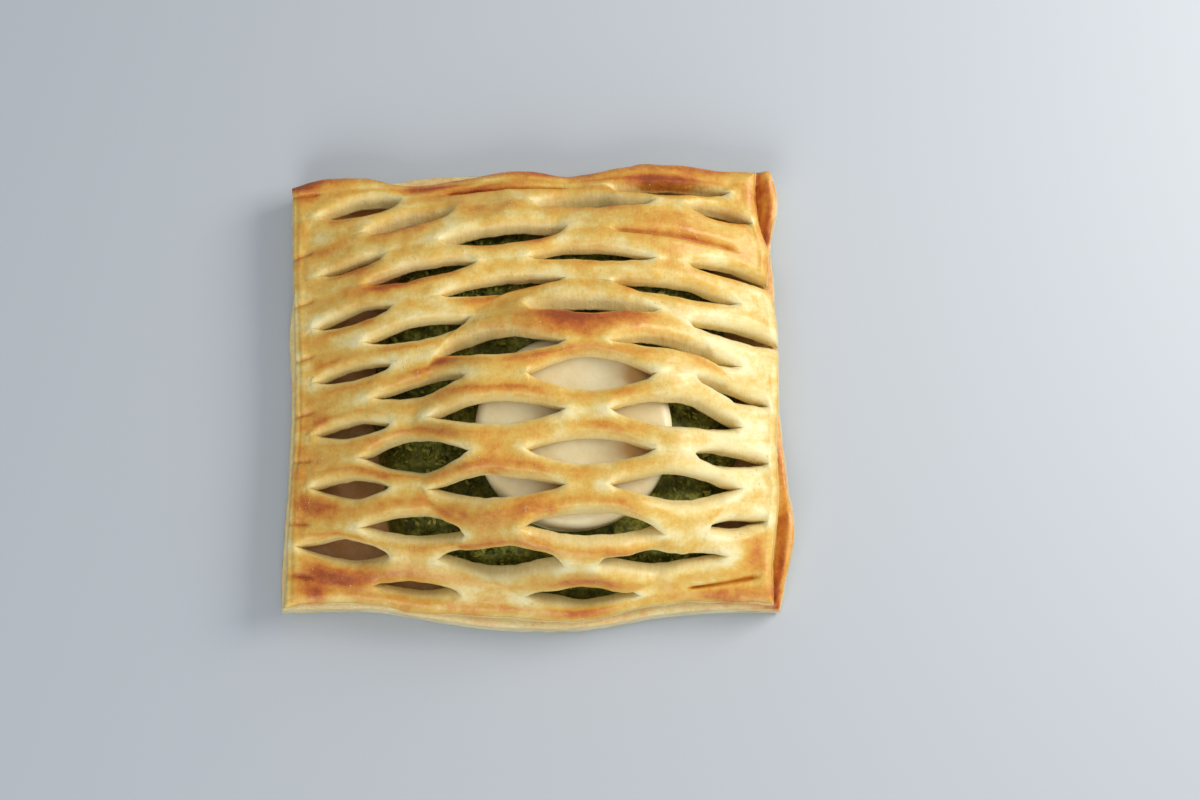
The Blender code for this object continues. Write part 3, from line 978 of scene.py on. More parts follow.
@dataclass(frozen=True)
class BrowningAndPaintedLight:
    """How the lattice browned: along the strands' crests, at the edges, and in patches; with painted light
    and shade at the sides, in the creases and on the pinched ends.
    """

    level: float = 0.25
    grains: tuple[Grain, ...] = (
        Grain(21, 10.0 * MM, 0.14, 1.7), Grain(22, 5.0 * MM, 0.13, 1.8), Grain(23, 1.8 * MM, 0.06),
    )
    # The brown band along each strand's crest.
    crest_share: float = 0.5
    crest_moves_back: float = 0.34
    back_starts_y: float = -4.0 * MM
    back_run: float = 30.0 * MM
    band_width: float = 0.25
    band_brown: float = 0.33
    band_pale: float = 0.13
    band_uncut: float = 0.35
    band_grain: Grain = Grain(24, 8.0 * MM, 0.7)
    # The band also fades towards the right: painted light, paler where the light falls brighter.
    band_fading: float = 0.55
    band_fades_from_x: float = 10.0 * MM
    band_fading_run: float = 25.0 * MM
    # A ring where the sheet bends over the cheese.
    ring_brown: float = 0.10
    ring_radius: float = 17.0 * MM
    ring_width: float = 12.0 * MM
    # Painted light: paler at the right, where the light falls brighter. Painted shade: a little darker at the
    # left.
    right_painted_light: float = 0.24
    right_starts_x: float = 22.0 * MM
    right_run: float = 22.0 * MM
    right_middle_y: float = -8.0 * MM
    right_half_depth: float = 40.0 * MM
    right_depth_run: float = 20.0 * MM
    left_painted_shade: float = 0.03
    left_ends_x: float = 20.0 * MM
    left_run: float = 50.0 * MM
    # The left border, and the right and back edges.
    border_pale: float = 0.14
    border_width: float = 2.0 * MM
    edge_brown: float = 0.14
    edge_reach: float = 2.2 * MM
    # Past this, more browning shows less and less.
    soft_limit: float = 0.7
    soft_room: float = 0.25
    # Creases, browner and with painted shade in them; the seam; pinched ends, paler and with a painted
    # highlight; lips and walls.
    crease_brown_and_shade: float = 0.3
    edge_cut_brown_and_shade: float = 0.4
    seam_brown: float = 0.04
    # Pinched ends: paler stretched dough with a painted highlight, more of it towards the brighter right.
    pinch_pale_and_glint: float = 0.24
    pinch_glint_right: float = 0.1
    pinch_right_x: float = -5.0 * MM
    pinch_right_run: float = 30.0 * MM
    lip_pale: float = 0.12
    wall_bake: float = 0.1
    patches: tuple[Patch, ...] = (
        Patch(-27, 48.5, 6, 2.2, 0.5),
        Patch(-14, 46.6, 8, 1.1, 0.45, 8),
        Patch(-54, 50, 7, 2.2, 0.3),
        Patch(-4, 52.5, 22, 1.6, 0.22),
        Patch(-36, 24.5, 7, 2.0, 0.42, 10),
        Patch(-2, 11.0, 12, 2.8, 0.36, 12),
        Patch(14, 12.8, 13, 3.2, 0.32),
        Patch(32, 6.5, 9, 2.2, 0.42, -26),
        Patch(-20, 4.5, 10, 2.0, 0.34, 14),
        Patch(-51, -27, 7, 2.6, 0.42, -14),
        Patch(-46, -43.5, 11, 2.1, 0.52),
        Patch(-51.5, -47.5, 3.0, 3.4, 0.42),
        Patch(-38, -15, 8, 2.0, 0.25),
        Patch(11, -51.6, 6, 1.5, 0.42),
        Patch(45, -47.6, 10, 2.8, 0.52),
        Patch(50, -36, 3.2, 4.2, 0.48),
        Patch(26, 45.8, 12, 1.5, 0.42, -3),
        Patch(34, 53.5, 16, 2.0, 0.25),
        Patch(33.5, 36.6, 7, 1.6, 0.14, -8),
        Patch(10, 31.4, 8, 1.5, 0.32),
        Patch(38.5, -28.5, 3, 2.0, 0.3),
        Patch(32, -44.5, 4, 1.6, 0.25),
        Patch(-25, 41, 6, 1.6, 0.3, 8),
        # Browner dough with painted shade of the shallow hollow at the back right.
        Patch(29, 49.2, 12, 2.0, 0.75, -2),
        Patch(46, 40.5, 7, 1.2, 0.3, -8),
    )

    def at(
        self, form: Form, x: np.ndarray, y: np.ndarray, share: np.ndarray, cut: np.ndarray
    ) -> np.ndarray:
        """Says how browned the sheet is, away from its creases and lips, with painted light towards the right
        and painted shade at the left.

        Args:
            form: The shared form.
            x: Places along X.
            y: Places along Y.
            share: Places across the strand, 0 at its back and 1 at its front.
            cut: How open the nearer cut is there.

        Returns:
            The browning, mostly from 0 to 1.
        """
        bake = self.level + relief(self.grains, x, y)
        crest = self.crest_share - self.crest_moves_back * smooth((y - self.back_starts_y) / self.back_run)
        # Painted light: the band fades towards the brighter right.
        fading = self.band_fading * smooth((x - self.band_fades_from_x) / self.band_fading_run)
        band = np.exp(-(((share - crest) / self.band_width) ** 2)) * (1 - fading)
        strength = np.minimum(1, self.band_uncut + cut) * (1 + self.band_grain.at(x, y))
        bake += (self.band_brown * band - self.band_pale) * strength
        away = np.hypot(x - form.cheese_x, y - form.cheese_y)
        bake += self.ring_brown * np.exp(-(((away - self.ring_radius) / self.ring_width) ** 2))
        # Painted light: paler towards the right, in the middle rows.
        depth = (self.right_half_depth - np.abs(y - self.right_middle_y)) / self.right_depth_run
        bake -= self.right_painted_light * smooth((x - self.right_starts_x) / self.right_run) * smooth(depth)
        # Painted shade: a little darker towards the left.
        bake += self.left_painted_shade * smooth((self.left_ends_x - x) / self.left_run)
        bake -= self.border_pale * smooth((form.top_left.at(y) + self.border_width - x) / MM)
        edges = np.minimum(form.top_right.at(y) - x, form.top_back.at(x) - y)
        bake += self.edge_brown * np.exp(-np.clip(edges, 0, None) / self.edge_reach)
        for patch in self.patches:
            bake += patch.at(x, y)
        held_back = self.soft_limit + self.soft_room * np.tanh((bake - self.soft_limit) / self.soft_room)
        return np.where(bake > self.soft_limit, held_back, bake)

    def at_features(
        self, x: np.ndarray, inner: np.ndarray, crease: np.ndarray, seam: np.ndarray, pinch: np.ndarray,
        drop: np.ndarray,
    ) -> np.ndarray:
        """Says how much browner or paler the creases, the seam, the pinched ends and the lips are, with
        painted shade in the creases and a painted highlight on the pinched ends.

        Args:
            x: Places along X.
            inner: 1 away from the left border and 0 on it.
            crease: How deep a crease is there, as a share.
            seam: How deep the seam is there, as a share.
            pinch: How pinched the dough is there, as a share.
            drop: How far the lip has dropped there, as a share.

        Returns:
            The extra browning, with painted shade and painted highlight in it.
        """
        # Creases are browner, with painted shade in them.
        extra = crease * (self.crease_brown_and_shade * inner + self.edge_cut_brown_and_shade * (1 - inner))
        # Pinched ends: paler dough and a painted highlight, more towards the right.
        to_right = smooth((x - self.pinch_right_x) / self.pinch_right_run)
        pale = (self.pinch_pale_and_glint + self.pinch_glint_right * to_right) * pinch + self.lip_pale * drop
        return extra + self.seam_brown * seam - pale


@dataclass
class TopSheet:
    """The lattice: a sheet cut in rows, pulled open over the filling."""

    form: Form
    cuts: Cuts
    marks: BrowningAndPaintedLight = BrowningAndPaintedLight()
    spacing: float = 0.9 * MM
    across: tuple[float, ...] = (
        0.0, 0.02, 0.055, 0.11, 0.18, 0.27, 0.38, 0.5, 0.62, 0.73, 0.82, 0.89, 0.945, 0.98,
    )
    wall_levels: int = 4
    crown_thickness: float = 4.6 * MM
    cut_thickness: float = 3.0 * MM
    edge_thickness: float = 3.4 * MM
    wall_height: float = 1.2 * MM
    shoulder_width: float = 2.2 * MM
    fully_open_at: float = 0.25
    # Uneven lips: each row and side reads the waves along a track of its own.
    lip_waves: tuple[Grain, ...] = (Grain(11, 5.0 * MM, 0.32), Grain(12, 1.7 * MM, 0.13))
    wave_tracks: tuple[Pair, ...] = ((9.1 * MM, 3.3 * MM), (7.7 * MM, 2.9 * MM))
    # Relief in millimetres, calmer near the outer edges.
    crust: tuple[Grain, ...] = (Grain(1, 6.0 * MM, 0.26), Grain(2, 2.4 * MM, 0.16), Grain(3, 0.9 * MM, 0.05))
    edge_rounding: float = 2.6 * MM
    edge_calm: float = 0.7
    # Creases of shut cuts, and pinched dough at the ends of open ones.
    crease_depth: float = 1.6 * MM
    crease_width: float = 0.1
    pinch_height: float = 0.45 * MM
    pinch_reach: float = 3.2 * MM
    pinch_width: float = 0.28
    pinch_grain: Grain = Grain(6, 0.9 * MM, 0.3 * MM)
    # The pressed seam along the left border.
    seam_inset: float = 1.5 * MM
    seam_depth: float = 0.28 * MM
    seam_width: float = 0.4 * MM
    seam_grain: Grain = Grain(5, 7.0 * MM, 0.3)
    border_reach: float = 12.0 * MM
    # The cut walls, and where the finish takes a place for wall.
    wall_bulge: float = 0.22
    bulge_low: float = 0.8
    wall_grain: Grain = Grain(4, 0.8 * MM, 0.09)
    wall_track: float = 9.0 * MM
    border_rounding: float = 0.5
    wall_ends: float = 1.1
    wall_blend: float = 0.7
    lip_starts: float = 0.1
    lip_blend: float = 0.5
    lip_as_wall: float = 0.8

    def tables(self, places: np.ndarray) -> tuple[np.ndarray, np.ndarray, np.ndarray]:
        """Works out every row's two lips.

        Args:
            places: The columns' places along X.

        Returns:
            By row and column: Y of the front and the back lip, the share open, and the depth of a crease.
        """
        lips = np.zeros((2, self.cuts.strands + 1, len(places)))
        shares = np.zeros((self.cuts.strands + 1, len(places)))
        creases = np.zeros_like(shares)
        for row in range(self.cuts.strands + 1):
            line = self.cuts.line(row, places)
            share, opening = self.cuts.lens(row, places)
            lean = np.abs(self.form.outward(places, line)[1]) * self.cut_thickness
            for index, side in enumerate((Side.FRONT, Side.BACK)):
                jitter = np.zeros(len(places))
                for wave, (by_row, by_side) in zip(self.lip_waves, self.wave_tracks):
                    jitter += wave.at(places, np.full(len(places), row * by_row + side * by_side))
                loose = np.sqrt(share) if 0 < row < self.cuts.strands else 1.0
                lips[index, row] = line + side * 0.5 * share * (opening + lean) + jitter * MM * loose
            shares[row] = share
            creases[row] = self.cuts.crease(row, places)
        return lips, shares, creases

    def cut_flat(self, places: np.ndarray, rows: np.ndarray) -> bmesh.types.BMesh:
        """Cuts a flat sheet and gives it a thickness. Vertices then hold column, row and layer.

        Args:
            places: The columns' places along X.
            rows: The grid rows' places, in strands from the back.

        Returns:
            The cut sheet. Its "cut_side" layer tells which side of a cut each vertex is on.
        """
        sheet = flat_grid(len(places) - 1, len(rows) - 1)
        middles = 0.5 * (places[1:] + places[:-1])
        is_open = [self.cuts.lens(row, middles)[0] > 0 for row in range(self.cuts.strands + 1)]
        steps = len(self.across)
        cut_edges = []
        for edge in sheet.edges:
            first, second = edge.verts
            if first.co.y == second.co.y and int(first.co.y) % steps == 0:
                column = int(min(first.co.x, second.co.x))
                if is_open[int(first.co.y) // steps][column]:
                    cut_edges.append(edge)
        bmesh.ops.split_edges(sheet, edges=cut_edges)
        side = sheet.verts.layers.int.new("cut_side")
        for vertex in sheet.verts:
            if int(vertex.co.y) % steps == 0 and 0 < vertex.co.y < len(rows) - 1:
                middles_y = [face.calc_center_median().y for face in vertex.link_faces]
                if all(middle < vertex.co.y for middle in middles_y):
                    vertex[side] = Side.BACK
                elif all(middle > vertex.co.y for middle in middles_y):
                    vertex[side] = Side.FRONT
        upper = bmesh.ops.extrude_face_region(sheet, geom=sheet.faces[:], use_keep_orig=True)["geom"]
        for item in upper:
            if isinstance(item, bmesh.types.BMVert):
                item.co.z = 1.0
        upright = [edge for edge in sheet.edges if edge.verts[0].co.z != edge.verts[1].co.z]
        bmesh.ops.subdivide_edges(sheet, edges=upright, cuts=self.wall_levels - 1, use_grid_fill=True)
        return sheet

    def build(self) -> bpy.types.Object:
        """Makes the piece.

        Returns:
            The piece.
        """
        places = self.cuts.stations(self.spacing)
        steps = len(self.across)
        rows = np.array([strand + at for strand in range(self.cuts.strands) for at in self.across])
        rows = np.append(rows, self.cuts.strands)
        lips, shares, creases = self.tables(places)
        sheet = self.cut_flat(places, rows)
        cut_side = sheet.verts.layers.int["cut_side"]
        grid = np.array([(*vertex.co, vertex[cut_side]) for vertex in sheet.verts])
        column = np.rint(grid[:, 0]).astype(int)
        line = np.rint(grid[:, 1]).astype(int)
        level = grid[:, 2]
        side = np.rint(grid[:, 3]).astype(int)

        # Each vertex's strand, its place across it, and how thick the strand is there.
        strand = np.minimum(line // steps, self.cuts.strands - 1)
        strand = np.where(side == Side.BACK, line // steps - 1, strand)
        share = np.where(side == Side.BACK, 1.0, rows[line] - strand)
        back_cut = shares[strand, column]
        front_cut = shares[strand + 1, column]
        y = lips[0, strand, column] * (1 - share) + lips[1, strand + 1, column] * share
        width = lips[0, strand, column] - lips[1, strand + 1, column]
        drop = np.maximum(
            self.lip_drop(share * width) * smooth(back_cut / self.fully_open_at),
            self.lip_drop((1 - share) * width) * smooth(front_cut / self.fully_open_at),
        )
        thickness = self.crown_thickness - (self.crown_thickness - self.wall_height) * drop
        pinch = self.pinch(places, column, share, shares, strand)
        thickness += pinch * (self.pinch_height + self.pinch_grain.at(places[column], y))
        crease = np.maximum(
            creases[strand, column] * np.exp(-((share / self.crease_width) ** 2)),
            creases[strand + 1, column] * np.exp(-(((1 - share) / self.crease_width) ** 2)),
        )

        # The straight left and right edges move out to the sheet's own outline.
        x = places[column]
        edge_left = places[0]
        edge_right = places[-1]
        to_left = np.clip(1 - (x - edge_left) / self.border_reach, 0, 1)
        to_right = np.clip(1 - (edge_right - x) / self.border_reach, 0, 1)
        x = x + to_left * (self.form.top_left.at(y) - edge_left)
        x = x + to_right * (self.form.top_right.at(y) - edge_right)

        # Rounded outer edges, creases, the seam and the crust's relief.
        outer = np.minimum.reduce([
            x - self.form.top_left.at(y), self.form.top_right.at(y) - x,
            self.form.top_back.at(x) - y, y - self.form.top_front.at(x),
        ])
        rounding = np.clip(1 - outer / self.edge_rounding, 0, 1) ** 2
        thickness -= (self.crown_thickness - self.edge_thickness) * rounding
        thickness -= self.crease_depth * crease
        from_left = x - self.form.top_left.at(y)
        seam_line = self.seam_inset * (1 + self.seam_grain.at(y, np.zeros_like(y)))
        seam = np.exp(-(((from_left - seam_line) / self.seam_width) ** 2))
        thickness -= self.seam_depth * seam
        cut = np.where(share < 0.5, back_cut, front_cut)
        thickness += MM * relief(self.crust, x, y) * (1 - self.edge_calm * rounding)

        # The sheet stands on the domed underside, thick along the dome's normal.
        above = level * thickness
        normal_x, normal_y, normal_z = self.form.outward(x, y)
        on_side = (side != Side.NEITHER) | (line == 0) | (line == len(rows) - 1)
        on_side |= (column == 0) | (column == len(places) - 1)
        bulge = np.sin(math.pi * np.clip(level, 0, 1) ** self.bulge_low) * self.wall_bulge
        bulge += self.wall_grain.at(x + y, level * self.wall_track)
        on_border = on_side & (side == Side.NEITHER)
        round_in = self.border_rounding * np.clip(2 * level - 1, 0, 1) ** 2 * on_border
        push = np.where(on_side, (bulge - round_in) * MM, 0.0)
        facing = [side == Side.BACK, side == Side.FRONT, line == 0, line == len(rows) - 1]
        push_y = push * np.select(facing, [-1, 1, 1, -1], 0)
        push_x = push * np.select([column == 0, column == len(places) - 1], [-1, 1], 0)
        height = self.form.underside(x, y) + above * normal_z
        spots = np.stack([x + above * normal_x + push_x, y + above * normal_y + push_y, height], axis=1)
        for vertex, spot in zip(sheet.verts, spots):
            vertex.co = spot

        # What the finish reads: browning, with painted light and shade in it, how much of a place is wall,
        # and its level.
        inner = smooth((x - self.cuts.edge_cuts_end_x) / MM)
        bake = self.marks.at(self.form, x, y, share, cut)
        bake += self.marks.at_features(x, inner, crease, seam, pinch, drop)
        up_wall = np.where(on_side & ~on_border, level, 1.0)
        bake = self.marks.wall_bake + (bake - self.marks.wall_bake) * up_wall
        wall = np.where(on_side, smooth((self.wall_ends - level) / self.wall_blend), 0.0)
        wall = np.maximum(wall, self.lip_as_wall * smooth((drop - self.lip_starts) / self.lip_blend))
        wall = np.where(level == 0, 1.0, wall)
        return to_object(
            sheet, "lattice_top", BakedCrust("baked_lattice", 0.15).build(), "pastry_lattice",
            {"bake": bake, "side": wall, "level": level}, ALL_SMOOTH,
        )

    def lip_drop(self, inside: np.ndarray) -> np.ndarray:
        """Says how far the rounded lip of a cut has dropped.

        Args:
            inside: Distances in from the lip.

        Returns:
            1 at the lip and 0 past the shoulder.
        """
        short = 1 - np.clip(inside / self.shoulder_width, 0, 1)
        return 1 - np.sqrt(1 - short**2)

    def pinch(
        self,
        places: np.ndarray,
        column: np.ndarray,
        share: np.ndarray,
        shares: np.ndarray,
        strand: np.ndarray,
    ) -> np.ndarray:
        """Finds the pale, stretched dough at the ends of the cuts, which also takes a painted highlight.

        Args:
            places: The columns' places along X.
            column: Each vertex's column.
            share: Each vertex's place across its strand.
            shares: How open each row is in each column.
            strand: Each vertex's strand.

        Returns:
            1 at the end of an open cut and 0 away from it.
        """
        near_end = np.zeros_like(shares)
        for row in range(shares.shape[0]):
            is_open = shares[row] > 0
            ends = places[np.flatnonzero(np.diff(is_open.astype(int)) != 0)]
            if len(ends):
                away = np.abs(places[:, None] - ends[None, :]).min(axis=1)
                near_end[row] = np.exp(-((away / self.pinch_reach) ** 2))
        return np.maximum(
            near_end[strand, column] * np.exp(-((share / self.pinch_width) ** 2)),
            near_end[strand + 1, column] * np.exp(-(((1 - share) / self.pinch_width) ** 2)),
        )


@dataclass
class BaseSheet:
    """The bottom sheet: a floor under the filling, a rim, flaky sides, and a lip along its right side."""

    form: Form
    columns: int = 120
    rows: int = 110
    wall_top: float = 5.2 * MM
    rim_start: float = 0.6 * MM
    rim_flat: float = 1.6 * MM
    rim_end: float = 3.4 * MM
    floor_start: float = 6.0 * MM
    left_bank_width: float = 14.0 * MM
    right_bank_width: float = 7.5 * MM
    bank_height: float = 2.3 * MM
    # The free lip and the groove beside it.
    lip_rise: float = 3.2 * MM
    lip_starts_at_width: float = 1.9 * MM
    lip_full_width: float = 4.5 * MM
    crest_inset: float = 1.0 * MM
    crest_share: float = 0.36
    groove_width: float = 0.5 * MM
    groove_depth: float = 0.45
    groove_grain: Grain = Grain(38, 1.1 * MM, 0.3 * MM)
    groove_starts_at_width: float = 1.0 * MM
    groove_full_width: float = 2.5 * MM
    groove_reach: float = 2.0 * MM
    lip_end_run: float = 1.6 * MM
    lip_foot: float = 0.8
    lip_foot_run: float = 0.6
    tint_starts: float = 0.7
    tint_run: float = 0.45
    # Relief of the dough and its layers.
    dough: tuple[Grain, ...] = (Grain(31, 3.0 * MM, 0.12 * MM), Grain(32, 1.2 * MM, 0.06 * MM))
    layer_grain: Grain = Grain(33, 0.55 * MM, 0.32)
    layer_length: float = 6.0
    flake_grain: Grain = Grain(34, 1.6 * MM, 0.16, 3.0)
    # Browning.
    bake_level: float = 0.04
    bake_grain: Grain = Grain(35, 6.0 * MM, 0.06)
    right_brown: float = 0.42
    right_reach: float = 5.5 * MM
    uneven: tuple[Grain, ...] = (Grain(36, 1.5 * MM, 0.45, 0.3), Grain(37, 1.5 * MM, 0.15))
    groove_brown: float = 0.16
    corner_brown: float = 0.2
    back_corner: Pair = (34.0 * MM, 5.0 * MM)
    front_corner: Pair = (-24.0 * MM, 6.0 * MM)
    tray_brown: float = 0.2
    tray_starts: float = 4.5 * MM
    tray_run: float = 2.0 * MM
    wall_brown: float = 0.7
    wall_browns_by: float = 0.9
    # The sides, as insets at heights above the floor, and the grid.
    outline_rounds: int = 6
    wall: Curve = Curve(((0.0, 0.8), (1.1, 0.0), (2.1, 0.5), (3.2, 0.1), (4.2, 0.45), (5.2, 0.6)))
    wall_steps: int = 14
    border_cells: int = 12

    def spread(self, index: np.ndarray, count: int, low: np.ndarray, high: np.ndarray) -> np.ndarray:
        """Places grid lines between two edges, closer together near both.

        Args:
            index: Each vertex's grid line.
            count: The last grid line.
            low: Where the first edge is.
            high: Where the second edge is.

        Returns:
            The places.
        """
        first = low + self.rim_start
        last = high - self.rim_start
        border = self.floor_start - self.rim_start
        from_low = index / self.border_cells * border
        from_high = (count - index) / self.border_cells * border
        inner = (index - self.border_cells) / (count - 2 * self.border_cells)
        middle = first + border + (last - first - 2 * border) * inner
        return np.where(
            index <= self.border_cells, first + from_low,
            np.where(index >= count - self.border_cells, last - from_high, middle),
        )

    def build(self) -> bpy.types.Object:
        """Makes the piece.

        Returns:
            The piece.
        """
        base = flat_grid(self.columns, self.rows)
        rim = [edge for edge in base.edges if edge.is_boundary]
        for step in range(1, self.wall_steps + 1):
            wall = bmesh.ops.extrude_edge_only(base, edges=rim)["geom"]
            rim = [item for item in wall if isinstance(item, bmesh.types.BMEdge) and item.is_boundary]
            for vertex in {corner for edge in rim for corner in edge.verts}:
                vertex.co.z = step
        bmesh.ops.contextual_create(base, geom=rim)

        grid = np.array([vertex.co[:] for vertex in base.verts])
        column, row, step = grid[:, 0], grid[:, 1], grid[:, 2]
        form = self.form
        x = np.zeros(len(grid))
        y = np.zeros(len(grid))
        for _ in range(self.outline_rounds):
            x = self.spread(column, self.columns, form.base_left.at(y), form.base_right.at(y))
            y = self.spread(row, self.rows, form.base_front.at(x), form.base_back.at(x))
        from_right = form.base_right.at(y) - x
        from_ends = np.minimum(form.base_back.at(x) - y, y - form.base_front.at(x))
        inset = np.minimum.reduce([x - form.base_left.at(y), from_right, from_ends])
        height = self.wall_top + (form.rim_top - self.wall_top) * smooth(
            (inset - self.rim_start) / (self.rim_flat - self.rim_start)
        )
        slope = smooth((inset - self.rim_end) / (self.floor_start - self.rim_end))
        height += (form.floor_top - form.rim_top) * slope
        from_left = x - form.base_left.at(y)
        bank = 1 - smooth((from_left - self.rim_end) / self.left_bank_width)
        bank = np.maximum(bank, 1 - smooth((from_right - self.rim_end) / self.right_bank_width))
        bank *= smooth((inset - self.rim_end) / MM)
        height = np.maximum(height, form.floor_top + self.bank_height * bank)
        lip, in_groove = self.lip(y, from_right, from_ends)
        height += lip + in_groove * self.groove_grain.at(x, y) + relief(self.dough, x, y)

        down = 1 - step / self.wall_steps
        on_wall = step > 0
        at_bottom = step == self.wall_steps
        wall_z = down * self.wall_top
        lifted = np.where(on_wall, wall_z * (1 + lip / form.rim_top), height)
        out_x = (column == self.columns).astype(float) - (column == 0)
        out_y = (row == self.rows).astype(float) - (row == 0)
        along = np.where(out_y != 0, x, y)
        flakes = self.layer_grain.at(along / self.layer_length, wall_z) + self.flake_grain.at(along, wall_z)
        push = self.rim_start - self.wall.at(wall_z) + flakes * MM * (on_wall & ~at_bottom)
        push = np.minimum(push, self.rim_start) * on_wall
        spots = np.stack([x + push * out_x, y + push * out_y, np.where(at_bottom, 0.0, lifted)], axis=1)
        for vertex, spot in zip(base.verts, spots):
            vertex.co = spot

        bake = self.bake_level + self.bake_grain.at(x, y)
        right_band = self.right_brown * np.exp(-np.clip(from_right, 0, None) / self.right_reach)
        corners = smooth((y - self.back_corner[0]) / self.back_corner[1])
        corners += smooth((self.front_corner[0] - y) / self.front_corner[1])
        groove_band = (self.groove_brown + self.corner_brown * corners) * in_groove
        bake += (right_band + groove_band) * (1 + relief(self.uneven, x, y))
        bake += self.tray_brown * smooth((inset - self.tray_starts) / self.tray_run)
        bake *= np.where(on_wall, self.wall_brown * smooth(down / self.wall_browns_by), 1.0)
        # The base's sides are greyer and darker than the top sheet's cut walls: the dough's own colour, with
        # painted shade of the sides.
        finish = BakedCrust(
            "baked_base", 0.85, pale="EFD590", straw="E9AE6E", inner="DCD1A6", layer_line="BDA66E",
        )
        return to_object(
            base, "base_sheet", finish.build(), "pastry_base",
            {"bake": bake, "side": on_wall.astype(float), "level": np.where(on_wall, down, 1.0)},
        )

    def lip(
        self, y: np.ndarray, from_right: np.ndarray, from_ends: np.ndarray
    ) -> tuple[np.ndarray, np.ndarray]:
        """Raises the lip that stands free of the top sheet along the right side.

        Args:
            y: Places along Y.
            from_right: Distances in from the right edge.
            from_ends: Distances in from the front or back edge, whichever is nearer.

        Returns:
            The extra height, and 1 where the groove beside the lip is deepest.
        """
        width = np.clip(self.form.base_right.at(y) - self.form.top_right.at(y), 0, None)
        widening = (width - self.lip_starts_at_width) / (self.lip_full_width - self.lip_starts_at_width)
        rise = self.lip_rise * smooth(widening)
        crest = np.maximum(self.crest_inset, self.crest_share * width)
        groove = np.maximum(self.crest_inset, width - 2 * self.groove_width) + self.groove_width
        profile = 1 - self.groove_depth * smooth((from_right - crest) / (groove - crest))
        foot = width + self.lip_foot * self.groove_width - from_right
        profile *= smooth(foot / (self.lip_foot_run * self.groove_width))
        profile *= smooth(from_ends / self.lip_end_run)
        in_groove = smooth((from_right - self.tint_starts * crest) / (self.tint_run * (groove - crest)))
        groove_opens = self.groove_full_width - self.groove_starts_at_width
        in_groove *= smooth((width - self.groove_starts_at_width) / groove_opens)
        in_groove *= np.exp(-np.clip(from_right - groove, 0, None) / self.groove_reach)
        return rise * profile, in_groove


